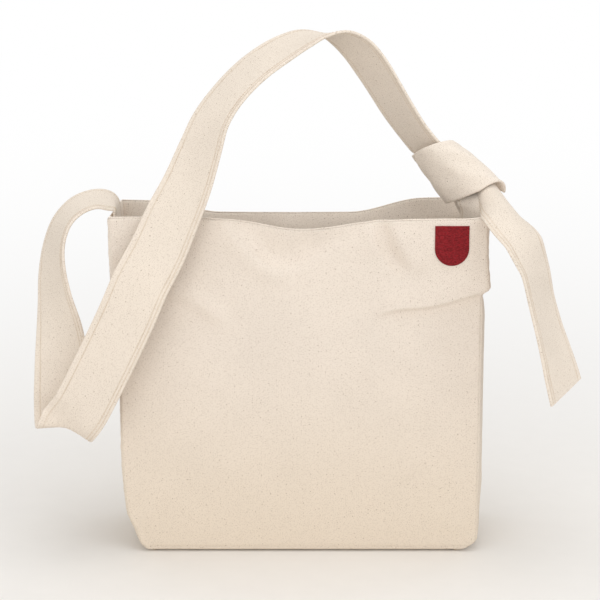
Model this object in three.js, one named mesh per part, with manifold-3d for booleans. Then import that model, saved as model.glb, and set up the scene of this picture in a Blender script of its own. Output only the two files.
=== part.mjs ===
// Canvas shoulder bag: a boxed canvas body, and one wide strap that is sewn inside the left end, hangs down in a
// loop beside the bag, crosses the front, arches over the mouth and is knotted into a keeper loop at the right end.
// Millimetres, +Z up. The origin is the middle of the flat base. The front faces -Y, and +X is to the right of it.
import * as THREE from "three";
import { mergeVertices } from "three/addons/utils/BufferGeometryUtils.js";
import Module from "manifold-3d";

const wasm = await Module();
wasm.setup();

// Bag body
const bagWidth = 364; // between the corner seams, below the flare
const bagHeight = 350; // at the ends of the rim
const bagDepth = 120;
const canvas = 1.5; // one panel with its turned seam
const seamGap = 0.3; // between pieces that are sewn face to face
const rimFlare = 5; // each side stands this much wider at the rim
const flareFrom = 0.67; // share of the height where the flare starts
const flareTo = 0.82;
const sideBulge = 3; // the gussets bow out between their seams
const frontBelly = 4; // the front and back bow out at mid height
const frontRimDip = 13; // the rim sags between the ends
const backRimDip = 10;
const backRimLean = 20; // the back's rim leans in over the mouth
const sideRimDip = 5;
const facingDepth = 45; // the doubled band inside the mouth

// The base corners are pulled in. The left one is slack and tapers from higher up than the right one.
const baseTuck = {
  left: { reach: 29, height: 75, power: 2.5 },
  right: { reach: 20, height: 14, power: 1.5 },
};

// Seam allowances, bound, inside the corners and round the base
const bindingWidth = 10;
const bindingThick = 2.4;
const bindingEndGap = 22; // from the base or the facing to the end of a binding
const bindingRoom = 0.25; // between a binding's inner edge and the seam, where the walls lean or bow in

// Label patch
const labelWidth = 34;
const labelHeight = 40;
const labelThick = 1;
const labelFromSeam = 20; // from the right corner seam to the label's edge
const labelFromRim = 9;

// Strap
const strapWidth = 58;
const strapThick = 3; // a doubled tube of canvas
const strapSewnDepth = 60; // how far below the rim its end is sewn in
const tailCut = 17; // the tail's end is cut on the slant by this much

// Keeper loop at the right end, that the strap is knotted into
const keeperWidth = 34;
const keeperThick = 2.6;
const keeperSewnDepth = 50;

const halfWidth = bagWidth / 2;
const halfDepth = bagDepth / 2;
const rimHalfWidth = halfWidth + rimFlare;
const rimEnd = rimHalfWidth + sideBulge; // the gusset's outer face at the middle of the rim
const gussetHalfDepth = halfDepth - canvas - seamGap; // the gussets sit between the front and the back
const layer = canvas + seamGap;
const facingInset = (2.5 * layer) / bagWidth; // share of the width, at each end of the front and back facings

const palette = {
  canvas: { color: "#e6d9c5", roughness: 0.92 },
  facing: { color: "#d3c1ac", roughness: 0.95 },
  strap: { color: "#e4d8c6", roughness: 0.9 },
  binding: { color: "#d8c9b4", roughness: 0.95 },
  label: { color: "#86282b", roughness: 0.85 },
};

const vector = (x, y, z) => new THREE.Vector3(x, y, z);
const { lerp, smoothstep, clamp, degToRad } = THREE.MathUtils;

// Solids

const bag = new THREE.Group();

function add(name, geometry, look) {
  const mesh = new THREE.Mesh(geometry, new THREE.MeshStandardMaterial({ ...palette[look], metalness: 0 }));
  mesh.name = name;
  bag.add(mesh);
}

function geometryFrom(points, triangles) {
  const geometry = new THREE.BufferGeometry().setFromPoints(points);
  geometry.setIndex(triangles);
  geometry.computeVertexNormals();
  return geometry;
}

// A point that far off a surface, along its normal. surface(u, v) takes u and v from 0 to 1.
function offSurface(surface, u, v, offset) {
  const step = 1e-3;
  const along = surface(u + step, v).sub(surface(u - step, v));
  const across = surface(u, v + step).sub(surface(u, v - step));
  return surface(u, v).addScaledVector(along.cross(across).normalize(), offset);
}

// A closed solid of cloth that lies between two offsets from a surface. Closed cloth runs round in u.
function cloth(surface, uSteps, vSteps, low, high, closed = false) {
  const columns = closed ? uSteps : uSteps + 1;
  const points = [];
  for (const offset of [low, high]) {
    for (let i = 0; i < columns; i++) {
      for (let j = 0; j <= vSteps; j++) points.push(offSurface(surface, i / uSteps, j / vSteps, offset));
    }
  }
  const side = columns * (vSteps + 1);
  const at = (i, j, face) => face * side + (i % columns) * (vSteps + 1) + j;
  const triangles = [];
  const quad = (a, b, c, d) => triangles.push(a, b, c, a, c, d);
  for (let i = 0; i < uSteps; i++) {
    for (let j = 0; j < vSteps; j++) {
      quad(at(i, j, 1), at(i + 1, j, 1), at(i + 1, j + 1, 1), at(i, j + 1, 1));
      quad(at(i, j + 1, 0), at(i + 1, j + 1, 0), at(i + 1, j, 0), at(i, j, 0));
    }
    quad(at(i + 1, 0, 1), at(i, 0, 1), at(i, 0, 0), at(i + 1, 0, 0));
    quad(at(i, vSteps, 1), at(i + 1, vSteps, 1), at(i + 1, vSteps, 0), at(i, vSteps, 0));
  }
  for (let j = 0; j < vSteps && !closed; j++) {
    quad(at(0, j, 1), at(0, j + 1, 1), at(0, j + 1, 0), at(0, j, 0));
    quad(at(uSteps, j + 1, 1), at(uSteps, j, 1), at(uSteps, j, 0), at(uSteps, j + 1, 0));
  }
  return geometryFrom(points, triangles);
}

// A solid plug inside a closed surface, between two shares of its length
function plug(surface, uSteps, vSteps, offset, from, to) {
  const points = [];
  for (let j = 0; j <= vSteps; j++) {
    const v = lerp(from, to, j / vSteps);
    for (let i = 0; i < uSteps; i++) points.push(offSurface(surface, i / uSteps, v, offset));
  }
  const at = (i, j) => j * uSteps + (i % uSteps);
  const triangles = [];
  for (let j = 0; j < vSteps; j++) {
    for (let i = 0; i < uSteps; i++) {
      triangles.push(at(i, j), at(i + 1, j), at(i + 1, j + 1), at(i, j), at(i + 1, j + 1), at(i, j + 1));
    }
  }
  for (const row of [0, vSteps]) {
    const middle = vector(0, 0, 0);
    for (let i = 0; i < uSteps; i++) middle.addScaledVector(points[at(i, row)], 1 / uSteps);
    points.push(middle);
    const hub = points.length - 1;
    for (let i = 0; i < uSteps; i++) {
      if (row === 0) triangles.push(at(i + 1, row), at(i, row), hub);
      else triangles.push(at(i, row), at(i + 1, row), hub);
    }
  }
  return geometryFrom(points, triangles);
}

function solidOf(geometry) {
  const bare = geometry.clone();
  bare.deleteAttribute("normal");
  const merged = mergeVertices(bare, 1e-4);
  return new wasm.Manifold(
    new wasm.Mesh({
      numProp: 3,
      vertProperties: merged.attributes.position.array,
      triVerts: new Uint32Array(merged.index.array),
    }),
  );
}

// The largest piece of a geometry that is left when others are cut out of it
function cutBy(geometry, ...cutters) {
  let solid = solidOf(geometry);
  for (const cutter of cutters) solid = solid.subtract(solidOf(cutter));
  const largest = solid.decompose().reduce((a, b) => (b.volume() > a.volume() ? b : a));
  const mesh = largest.getMesh();
  const points = [];
  for (let i = 0; i < mesh.numVert; i++) points.push(vector(...mesh.vertProperties.slice(i * 3, i * 3 + 3)));
  return geometryFrom(points, Array.from(mesh.triVerts));
}

// The bag's walls, as points from a share across and a height

const sides = { left: -1, right: 1 };
const ends = { front: -1, back: 1 };
const arched = (share, power) => 1 - Math.abs(2 * share - 1) ** power;

function tuckAt(side, z) {
  const { reach, height, power } = baseTuck[side];
  return reach * Math.max(0, 1 - z / height) ** power;
}

function cornerX(side, z) {
  const flare = rimFlare * smoothstep(z, flareFrom * bagHeight, flareTo * bagHeight);
  return sides[side] * (halfWidth + flare - tuckAt(side, z));
}

// Front and back panels: share runs from the left corner seam to the right one
function wallTop(end, share) {
  return bagHeight - (end === "front" ? frontRimDip : backRimDip) * arched(share, 2) ** 2;
}

function wallAt(end, share, z) {
  const x = lerp(cornerX("left", z), cornerX("right", z), share);
  const lean = end === "back" ? backRimLean * smoothstep(z, 0.6 * bagHeight, bagHeight) : 0;
  const belly = frontBelly * Math.sin((Math.PI * z) / bagHeight) - lean;
  return vector(x, ends[end] * (halfDepth + belly * arched(share, 2)), z);
}

// Gussets: share runs from the front to the back
const gussetTop = (share) => bagHeight - sideRimDip * arched(share, 2);
const gussetX = (side, y, z) =>
  cornerX(side, z) + sides[side] * sideBulge * (1 - Math.abs(y / gussetHalfDepth) ** 4);

function gussetAt(side, share, z) {
  const y = lerp(-gussetHalfDepth, gussetHalfDepth, share);
  return vector(gussetX(side, y, z), y, z);
}

// Cloth on a wall, down to the base or to a depth below the rim. outer and inner are how far in its faces are, and
// inset is what it leaves free at each corner.
const rows = (v) => Math.sign(v) * Math.abs(v) ** 1.2; // closer together toward the base
function wallCloth(end, outer, inner, inset = 0, fromRim = 0) {
  const surface = (u, v) => {
    const share = lerp(inset, 1 - inset, end === "front" ? u : 1 - u);
    const top = wallTop(end, share);
    return wallAt(end, share, fromRim ? lerp(top - fromRim, top, v) : top * rows(v));
  };
  return cloth(surface, 20, fromRim ? 3 : 22, -inner, -outer);
}

function gussetCloth(side, outer, inner, fromRim = 0) {
  const surface = (u, v) => {
    const share = side === "right" ? u : 1 - u;
    const top = gussetTop(share);
    return gussetAt(side, share, fromRim ? lerp(top - fromRim, top, v) : top * rows(v));
  };
  return cloth(surface, 12, fromRim ? 3 : 22, -inner, -outer);
}

// The base panel fits inside the walls, and its underside is flush with their lower edges
function basePanel() {
  const edgeX = (side, y) => {
    const step = 0.01;
    const slope = (gussetX(side, y + step, 0) - gussetX(side, y - step, 0)) / (2 * step);
    return gussetX(side, y, 0) - sides[side] * layer * Math.hypot(1, slope);
  };
  const surface = (u, v) => {
    const y = lerp(-gussetHalfDepth, gussetHalfDepth, v);
    return vector(lerp(edgeX("left", y), edgeX("right", y), u), y, 0);
  };
  return cloth(surface, 6, 12, 0, canvas);
}

// A bound seam allowance stands off an inner corner at 45 degrees. line(u) is the corner, and inward points off it.
function binding(line, inward) {
  const start = bindingThick / 2 + layer * Math.SQRT2 + bindingRoom;
  const surface = (u, v) => line(u).addScaledVector(inward, start + v * bindingWidth);
  return cloth(surface, 16, 1, -bindingThick / 2, bindingThick / 2);
}

function cornerBinding(side, end) {
  const line = (u) => {
    const z = lerp(bindingEndGap, bagHeight - facingDepth - bindingEndGap, u);
    return vector(cornerX(side, z), ends[end] * halfDepth, z);
  };
  return binding(line, vector(-sides[side], -ends[end], 0).normalize());
}

function baseBinding(end) {
  const from = cornerX("left", 0) + bindingEndGap;
  const to = cornerX("right", 0) - bindingEndGap;
  const line = (u) => vector(lerp(from, to, u), ends[end] * halfDepth, 0);
  return binding(line, vector(0, -ends[end], 1).normalize());
}

function gussetBaseBinding(side) {
  const reach = halfDepth - bindingEndGap;
  const line = (u) => {
    const y = lerp(-reach, reach, u);
    return vector(gussetX(side, y, 0), y, 0);
  };
  return binding(line, vector(-sides[side], 0, 1).normalize());
}

// The label is a flat cut with a round foot, bent onto the front
function label() {
  const radius = labelWidth / 2;
  const outline = new THREE.Shape();
  outline.moveTo(-radius, 0);
  outline.lineTo(-radius, radius - labelHeight);
  outline.absarc(0, radius - labelHeight, radius, Math.PI, 2 * Math.PI, false);
  outline.lineTo(radius, 0);
  outline.closePath();
  const geometry = new THREE.ExtrudeGeometry(outline, { depth: labelThick, bevelEnabled: false, curveSegments: 24 });
  geometry.deleteAttribute("uv");
  const place = geometry.attributes.position;
  for (let i = 0; i < place.count; i++) {
    const z = bagHeight - labelFromRim + place.getY(i);
    const x = rimHalfWidth - labelFromSeam - radius + place.getX(i);
    const share = (x - cornerX("left", z)) / (cornerX("right", z) - cornerX("left", z));
    const seat = wallAt("front", share, z);
    place.setXYZ(i, x, seat.y - seamGap - place.getZ(i), z);
  }
  geometry.computeVertexNormals();
  return geometry;
}

// A strap's route: stations down its middle. edge points from one selvage to the other, and curl is how far the
// strap is rolled about its length, in degrees.
class Route {
  constructor(width, stations) {
    this.width = width;
    this.stations = stations;
    this.steps = 20;
    this.centre = new THREE.CatmullRomCurve3(stations.map((s) => s.at), false, "centripetal");
    this.edge = new THREE.CatmullRomCurve3(stations.map((s) => s.edge), false, "catmullrom", 0.5);
    this.lengths = this.centre.getLengths(this.steps * (stations.length - 1));
    this.centre.arcLengthDivisions = this.steps * (stations.length - 1);
  }

  lengthTo(station) {
    return this.lengths[this.steps * station];
  }

  curlAt(t) {
    const place = clamp(t, 0, 1) * (this.stations.length - 1);
    const before = Math.min(Math.floor(place), this.stations.length - 2);
    const share = smoothstep(place - before, 0, 1);
    return degToRad(lerp(this.stations[before].curl, this.stations[before + 1].curl, share));
  }

  // A point of the strap, from a distance along the route and a share across its width
  point(distance, share) {
    const t = this.centre.getUtoTmapping(0, clamp(distance, 0, this.lengths.at(-1)));
    const along = this.centre.getTangent(t);
    const edge = this.edge.getPoint(t);
    edge.addScaledVector(along, -edge.dot(along)).normalize();
    const face = along.clone().cross(edge);
    const curl = Math.max(this.curlAt(t), 1e-3);
    const angle = (share - 0.5) * curl;
    const radius = this.width / curl;
    return this.centre
      .getPoint(t)
      .addScaledVector(edge, radius * Math.sin(angle))
      .addScaledVector(face, radius * (1 - Math.cos(angle)));
  }
}

// Cloth along a route between two stations, with a gap left at each end that meets a neighbour. slant is how far
// its free end is cut off the square.
function strapCloth(route, thick, from, to, uSteps, vSteps, slant = 0) {
  const start = route.lengthTo(from) + (from > 0 ? seamGap : 0);
  const last = to === route.stations.length - 1;
  const end = route.lengthTo(to) - (last ? slant / 2 : seamGap);
  const surface = (u, v) => route.point(lerp(start, end + slant * (v - 0.5), u), v);
  return cloth(surface, uSteps, vSteps, -thick / 2, thick / 2);
}

const station = (at, edge, curl = 0) => ({ at: vector(...at), edge: vector(...edge), curl });

// Where the strap lies against the facing inside the left end, and the keeper inside the right end
const insideX = (side, z, thick) =>
  gussetX(side, 0, z) - sides[side] * (2 * layer + thick / 2 + seamGap);

// x as a share of the rim from its left end, y as a share of half the depth in front of the middle, z above the rim
const overBag = (share, forward, rise) => [lerp(-rimEnd, rimEnd, share), -forward * halfDepth, bagHeight + rise];
// The same, with x measured out from the left end of the rim
const offLeft = (out, forward, rise) => [-rimEnd - out, -forward * halfDepth, bagHeight + rise];
// The same, with x measured out from the right end
const offRight = (out, forward, rise) => [rimEnd + out, -forward * halfDepth, bagHeight + rise];
const inLeft = (depth) => [insideX("left", bagHeight - depth, strapThick), 0, bagHeight - depth];

const strap = new Route(strapWidth, [
  // sewn inside the left end
  station(inLeft(strapSewnDepth), [0, -1, 0]),
  station(inLeft(strapSewnDepth / 2), [0, -1, 0]),
  station(inLeft(sideRimDip), [0, -1, 0]),
  // bent over the left end of the rim
  station(offLeft(-1, 0, 7), [0.05, -1, 0]),
  station(offLeft(9, 0.04, 12), [0.2, -0.97, -0.04]),
  station(offLeft(22, 0.1, 12), [0.28, -0.95, -0.1]),
  // hanging down beside the bag
  station(offLeft(38, 0.2, 5), [0.32, -0.94, -0.04]),
  station(offLeft(52, 0.3, -10), [0.36, -0.93, 0.02]),
  station(offLeft(60, 0.38, -34), [0.48, -0.87, 0.1]),
  station(offLeft(62, 0.48, -62), [0.58, -0.79, 0.18]),
  station(offLeft(59, 0.6, -90), [0.7, -0.68, 0.24]),
  station(offLeft(54, 0.74, -122), [0.88, -0.42, 0.18]),
  station(offLeft(51, 0.9, -160), [0.98, -0.12, 0.05]),
  // turned up at the foot of the loop
  station(offLeft(50.5, 1.0, -184), [0.99, 0.02, -0.06]),
  station(offLeft(50, 1.06, -203), [0.98, 0.01, -0.15], 14),
  station(offLeft(46.5, 1.27, -215), [0.965, 0, -0.235], 40),
  station(offLeft(37.5, 1.47, -203.5), [0.91, -0.12, -0.37], 14),
  // crossing the front, up to the rim
  station(offLeft(28.5, 1.54, -189), [0.89, -0.16, -0.42]),
  station(offLeft(4, 1.55, -142), [0.89, -0.18, -0.42]),
  station(overBag(0.051, 1.51, -94), [0.89, -0.18, -0.42]),
  station(overBag(0.088, 1.44, -62), [0.89, -0.2, -0.4]),
  station(overBag(0.132, 1.34, -31), [0.89, -0.27, -0.38]),
  station(overBag(0.168, 1.24, 0), [0.88, -0.36, -0.32]),
  // the arch over the mouth
  station(overBag(0.208, 1.12, 33), [0.82, -0.53, -0.2]),
  station(overBag(0.242, 0.98, 68), [0.73, -0.67, -0.13]),
  station(overBag(0.268, 0.87, 94), [0.61, -0.77, -0.16]),
  station(overBag(0.311, 0.77, 118), [0.51, -0.83, -0.21]),
  station(overBag(0.37, 0.66, 141), [0.47, -0.84, -0.24]),
  station(overBag(0.44, 0.54, 160), [0.4, -0.88, -0.28]),
  station(overBag(0.511, 0.42, 173.5), [0.29, -0.94, -0.2]),
  station(overBag(0.558, 0.35, 177), [0.22, -0.98, -0.01]),
  station(overBag(0.605, 0.28, 174), [0.33, -0.91, 0.22]),
  station(overBag(0.648, 0.21, 163), [0.46, -0.84, 0.27]),
  station(overBag(0.686, 0.15, 145), [0.51, -0.82, 0.25]),
  station(overBag(0.722, 0.1, 124), [0.49, -0.83, 0.24]),
  station(overBag(0.758, 0.06, 102), [0.47, -0.84, 0.24]),
  station(overBag(0.796, 0.03, 81), [0.44, -0.87, 0.23]),
  station(overBag(0.834, 0, 61), [0.39, -0.87, 0.3]),
  station(overBag(0.87, -0.03, 45), [0.39, -0.87, 0.3]),
]);
const strapCuts = { leftFold: 2, hangingLoop: 5, rimFold: 21, arch: 23, end: 38 };

// The knot: the strap is wrapped round itself as a slanted sleeve, wider at its lower mouth. Each mouth has its left
// and right folds, and how far its front and its back stand from the middle.
const knot = {
  upper: { left: offRight(-76.5, 0.02, 54.5), right: offRight(-34, 0, 66), front: [-2, -29, 8], back: [-9, 29, -9] },
  lower: { left: offRight(-42, 0.02, 5.5), right: offRight(19, 0, 16), front: [1, -25, 13], back: [2, 21, 2] },
  belly: 1.5,
  shoulder: 4, // how much more it bulges along its right fold
};

function knotSurface(u, v) {
  const angle = 2 * Math.PI * u;
  const across = Math.cos(angle);
  const forward = Math.sin(angle);
  const between = (key) => vector(...knot.upper[key]).lerp(vector(...knot.lower[key]), v);
  const left = between("left");
  const right = between("right");
  const middle = left.clone().lerp(right, 0.5);
  const half = right.sub(left).multiplyScalar(0.5);
  const depth = forward > 0 ? between("front") : between("back").negate();
  const swell = (knot.belly + knot.shoulder * Math.max(across, 0)) * Math.sin(Math.PI * clamp(v, 0, 1));
  const grow = (length) => 1 + swell / length;
  return middle
    .addScaledVector(half, across * grow(half.length()))
    .addScaledVector(depth, forward * grow(depth.length()));
}
const coreFrom = 0.1;
const coreTo = 0.74;

// The tail that hangs out of the knot, over the front right corner of the rim
const tail = new Route(strapWidth, [
  station(offRight(1, 0.1, 34), [-0.76, -0.6, 0.2], 320),
  station(offRight(5.5, 0.25, 25.5), [-0.75, -0.6, 0.22], 310),
  station(offRight(12, 0.62, 17.5), [-0.77, -0.59, 0.18], 205),
  station(offRight(21.5, 1.12, 5), [-0.76, -0.63, 0.12], 85),
  station(offRight(32.5, 1.36, -18.5), [-0.64, -0.77, 0.03], 28),
  station(offRight(41, 1.43, -48), [-0.55, -0.84, 0], 0),
  station(offRight(47, 1.51, -78), [-0.54, -0.84, 0.02], 0),
  station(offRight(54, 1.6, -104), [-0.56, -0.83, 0.02], 0),
  station(offRight(61, 1.69, -128), [-0.62, -0.78, 0.03], 0),
  station(offRight(67, 1.77, -150), [-0.68, -0.73, 0.04], 0),
  station(offRight(73, 1.86, -174), [-0.7, -0.71, 0.04], 0),
]);
const tailFold = 4;

// The keeper loop goes up from the sewn legs into the knot's mouth and down again
const keeperTop = sideRimDip + 6; // where the legs leave the facing, below the rim's height
const keeperLeg = (leg, depth) => {
  const z = bagHeight - depth;
  return [insideX("right", z, keeperThick) - seamGap - leg * (keeperThick + 2 * seamGap), 0, z];
};
const keeper = new Route(keeperWidth, [
  station(keeperLeg(0, keeperTop + keeperSewnDepth), [0, -1, 0]),
  station(keeperLeg(0, keeperTop + keeperSewnDepth / 2), [0, -1, 0]),
  station(keeperLeg(0, keeperTop), [0, -1, 0]),
  station(offRight(-6.4, 0, -3), [0.04, -1, 0]),
  station(offRight(-8.6, 0, 4), [0.28, -0.96, 0]),
  station(offRight(-10.8, 0, 10), [0.34, -0.94, 0]),
  station(offRight(-12.6, 0, 17), [0.34, -0.94, 0]),
  station(offRight(-15.4, 0, 22.5), [0.34, -0.94, 0]),
  station(offRight(-18.2, 0, 17), [0.34, -0.94, 0]),
  station(offRight(-15.2, 0, 8), [0.34, -0.94, 0]),
  station(offRight(-14.8, 0, 0), [0.34, -0.94, 0]),
  station(offRight(-11, 0, -5), [0.12, -0.99, 0]),
  station(keeperLeg(1, keeperTop), [0, -1, 0]),
  station(keeperLeg(1, keeperTop + keeperSewnDepth / 2), [0, -1, 0]),
  station(keeperLeg(1, keeperTop + keeperSewnDepth), [0, -1, 0]),
]);
const keeperCuts = { outer: 2, inner: 12, end: 14 };

// The bag body
for (const end of Object.keys(ends)) {
  add(`${end}_panel`, wallCloth(end, 0, canvas), "canvas");
  add(`${end}_facing`, wallCloth(end, layer, layer + canvas, facingInset, facingDepth), "facing");
  add(`${end}_base_binding`, baseBinding(end), "binding");
}
for (const side of Object.keys(sides)) {
  add(`${side}_gusset`, gussetCloth(side, 0, canvas), "canvas");
  add(`${side}_facing`, gussetCloth(side, layer, layer + canvas, facingDepth), "facing");
  add(`${side}_base_binding`, gussetBaseBinding(side), "binding");
  for (const end of Object.keys(ends)) add(`${end}_${side}_binding`, cornerBinding(side, end), "binding");
}
add("base_panel", basePanel(), "canvas");
add("label_patch", label(), "label");

// The strap
const knotWall = (grow) => {
  const past = grow / bagDepth;
  const surface = (u, v) => knotSurface(u, lerp(-past, 1 + past, v));
  return cloth(surface, 32, 8, -strapThick - grow, grow, true);
};
const knotCore = (grow) => {
  const past = (2 * grow) / bagDepth;
  return plug(knotSurface, 32, 4, grow - strapThick - seamGap, coreFrom - past, coreTo + past);
};
const besideKnot = (geometry, ...others) => cutBy(geometry, knotWall(seamGap), knotCore(seamGap), ...others);
const strapPiece = (from, to, uSteps, vSteps) => strapCloth(strap, strapThick, from, to, uSteps, vSteps);
const keeperPiece = (from, to, uSteps) => strapCloth(keeper, keeperThick, from, to, uSteps, 2);
// The tail leaves the knot past the keeper, and this is the room that the keeper takes there
const keeperRoom = () => {
  const wider = new Route(keeperWidth + 2 * seamGap, keeper.stations);
  return strapCloth(wider, keeperThick + 2 * seamGap, keeperCuts.outer, keeperCuts.inner, 34, 2);
};
const { leftFold, hangingLoop, rimFold, arch, end: strapEnd } = strapCuts;
add("strap_sewn_end", strapPiece(0, leftFold, 8, 2), "strap");
add("strap_left_fold", strapPiece(leftFold, hangingLoop, 12, 2), "strap");
add("strap_hanging_loop", strapPiece(hangingLoop, rimFold, 60, 4), "strap");
add("strap_rim_fold", strapPiece(rimFold, arch, 8, 4), "strap");
add("strap_arch", besideKnot(strapPiece(arch, strapEnd, 48, 4)), "strap");
add("knot_wrap", knotWall(0), "strap");
add("knot_core", knotCore(0), "strap");
add("tail_root", besideKnot(strapCloth(tail, strapThick, 0, tailFold, 18, 10), keeperRoom()), "strap");
add("strap_tail", strapCloth(tail, strapThick, tailFold, tail.stations.length - 1, 24, 4, tailCut), "strap");
add("keeper_outer_leg", keeperPiece(0, keeperCuts.outer, 8), "strap");
add("keeper_loop", besideKnot(keeperPiece(keeperCuts.outer, keeperCuts.inner, 34)), "strap");
add("keeper_inner_leg", keeperPiece(keeperCuts.inner, keeperCuts.end, 8), "strap");

export default bag;
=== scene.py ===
# Canvas shoulder bag: cloth shell, strap, knot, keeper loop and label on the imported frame, with its studio.
# Lengths are millimetres until a mesh is made. The origin is the middle of the base, the front faces -Y.
import math

import bpy
import numpy as np
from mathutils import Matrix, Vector


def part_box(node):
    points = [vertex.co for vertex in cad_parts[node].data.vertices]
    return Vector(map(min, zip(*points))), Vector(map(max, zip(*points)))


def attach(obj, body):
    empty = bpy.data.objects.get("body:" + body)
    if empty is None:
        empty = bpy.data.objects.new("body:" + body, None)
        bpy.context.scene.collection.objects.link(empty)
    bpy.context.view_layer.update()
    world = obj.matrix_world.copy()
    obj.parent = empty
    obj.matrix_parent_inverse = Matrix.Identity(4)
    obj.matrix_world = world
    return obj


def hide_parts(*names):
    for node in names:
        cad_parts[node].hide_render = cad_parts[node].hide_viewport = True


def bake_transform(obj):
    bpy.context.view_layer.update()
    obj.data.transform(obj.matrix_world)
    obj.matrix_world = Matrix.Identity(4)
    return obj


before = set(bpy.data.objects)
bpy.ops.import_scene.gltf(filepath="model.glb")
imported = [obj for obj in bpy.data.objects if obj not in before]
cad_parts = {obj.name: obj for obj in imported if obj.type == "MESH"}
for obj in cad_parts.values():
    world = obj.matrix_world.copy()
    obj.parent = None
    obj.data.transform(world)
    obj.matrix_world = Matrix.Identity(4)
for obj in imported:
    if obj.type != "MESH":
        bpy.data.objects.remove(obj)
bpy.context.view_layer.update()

MM = 0.001

# Bag, as in the part's source
BAG_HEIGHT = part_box("left_gusset")[1].z / MM
BAG_HALF_WIDTH = 182
HALF_DEPTH = 60
RIM_FLARE = 5
FLARE = {-1: (0.62, 0.80), 1: (0.765, 0.795)}  # where each side steps out, as shares of the height
SIDE_BULGE = 3
FRONT_BELLY = 4
FACING_DEPTH = 45
SIDE_RIM_DIP = 5
LONG_WALLS = ("front", "back")
OUTWARD = {"front": (0, -1, 0), "back": (0, 1, 0), "left": (-1, 0, 0), "right": (1, 0, 0)}

# The strap's sewn end pulls the left end of the rim out, between these shares of the height
RIM_PULL = {-1: 3.0, 1: 0.0}
PULL_START, PULL_END = 0.76, 0.93
# How each end is drawn in towards the base, left and right: reach, height and power of each part of the curve
BASE_TUCK = {-1: [(12, 110, 2), (9, 38, 0.7), (6, 10, 1.5)], 1: [(17, 13, 1.5)]}

# How far the rim sags: depth, and the places along x where each sag lies
FRONT_SAG, FRONT_SAG_X, FRONT_SAG_WIDTH = 12.9, 6, 58
RIGHT_SAG, RIGHT_SAG_IN, RIGHT_SAG_OUT = 1.8, (40, 110), (165, 187)
BACK_SAG, BACK_SAG_X, BACK_SAG_EDGE = 11, -14, (66, 142)
BACK_RISE, BACK_RISE_IN = 3.2, (60, 140)
# How far the long walls lean in and the back's rim turns out again, each from a share of the height up
FRONT_LEAN, FRONT_LEAN_WIDTH, FRONT_LEAN_FROM = 2, 60, 0.8
BACK_LEAN, BACK_LEAN_FROM = 20, 0.6
BACK_TURN, BACK_TURN_FROM = 6, 0.91

# Cloth thickness
CANVAS = 1.6
RIM_THICK = 3.4  # the panel and the facing, turned over
STRAP_WIDTH = 58
STRAP_THICK = 3
KEEPER_WIDTH = 34
KEEPER_THICK = 2.6

RIM_HALF_WIDTH = BAG_HALF_WIDTH + RIM_FLARE
RIM_END = RIM_HALF_WIDTH + SIDE_BULGE

# Colours, linear
CANVAS_COLOUR = (0.845, 0.757, 0.67)
# Painted shade: the walls turn darker and warmer towards the base
FOOT_PAINTED_SHADE_COLOUR = (0.80, 0.685, 0.545)
# Painted light: the facing and the tapes inside are paler than the canvas, to light the inside of the bag
FACING_PAINTED_LIGHT_COLOUR = (0.93, 0.84, 0.745)
STRAP_COLOUR = (0.815, 0.728, 0.634)
KNOT_PAINTED_LIGHT_COLOUR = (0.87, 0.785, 0.695)  # painted light: paler than the strap, to light the knot and the keeper loop
THREAD_COLOUR = (0.74, 0.62, 0.49)
LABEL_COLOUR = (0.225, 0.0115, 0.016)
LABEL_SLUB_COLOUR = tuple(share * part for share, part in zip((1.15, 2.6, 2.2), LABEL_COLOUR))
PAPER_DARK, PAPER_LIGHT = (0.80, 0.775, 0.745), (0.83, 0.805, 0.775)
FLECK_COLOUR = (0.22, 0.125, 0.06)
# Painted shade along each row of stitches
ROW_PAINTED_SHADE = (0.50, 0.36, 0.23)


def smoothstep(x, low, high):
    t = np.clip((np.asarray(x, float) - low) / (high - low), 0, 1)
    return t * t * (3 - 2 * t)


def bump(x, middle, width):
    return np.exp(-(((np.asarray(x, float) - middle) / width) ** 2))


def unit(v):
    return v / np.linalg.norm(v, axis=-1, keepdims=True)


# Meshes


def mesh_object(name, points, faces, materials=(), face_materials=None, uvs=None, flat_faces=()):
    """A piece from points in mm. uvs holds one (u, v) in metres for each corner of each face."""
    mesh = bpy.data.meshes.new(name)
    mesh.from_pydata((np.asarray(points) * MM).tolist(), [], [list(map(int, f)) for f in faces])
    for material in materials:
        mesh.materials.append(material)
    if face_materials is not None:
        mesh.polygons.foreach_set("material_index", np.asarray(face_materials, np.int32))
    if uvs is not None:
        layer = mesh.uv_layers.new(name="cloth")
        layer.data.foreach_set("uv", np.asarray(uvs, np.float32).ravel())
    smooth = np.ones(len(mesh.polygons), bool)
    smooth[list(flat_faces)] = False
    mesh.polygons.foreach_set("use_smooth", smooth)
    mesh.validate()
    mesh.update()
    obj = bpy.data.objects.new(name, mesh)
    bpy.context.scene.collection.objects.link(obj)
    return obj


def grid_faces(columns, rows, closed_columns=False, closed_rows=False, flip=False, start=0):
    """Quads of a grid whose points run along the rows of each column in turn."""
    faces = []
    for i in range(columns if closed_columns else columns - 1):
        here = start + i * rows
        there = start + (i + 1) % columns * rows
        for j in range(rows if closed_rows else rows - 1):
            k = (j + 1) % rows
            quad = (here + j, there + j, there + k, here + k)
            faces.append(quad[:1] + quad[:0:-1] if flip else quad)
    return faces


def tube_faces(rings, around, flip=False, start=0):
    """Quads between closed rings of points, with a face over the first ring and one over the last."""
    first = tuple(range(start, start + around))
    last = tuple(q + (rings - 1) * around for q in first)
    caps = [first[::-1], last] if flip else [first, last[::-1]]
    return grid_faces(rings, around, closed_rows=True, flip=flip, start=start) + caps


def shifted(faces, by):
    return [tuple(by + q for q in face) for face in faces]


def flat_uvs(points, faces, axes):
    """Two of the coordinates, in metres, of each corner of each face."""
    return points[[q for face in faces for q in face]][:, axes] * MM


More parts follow.
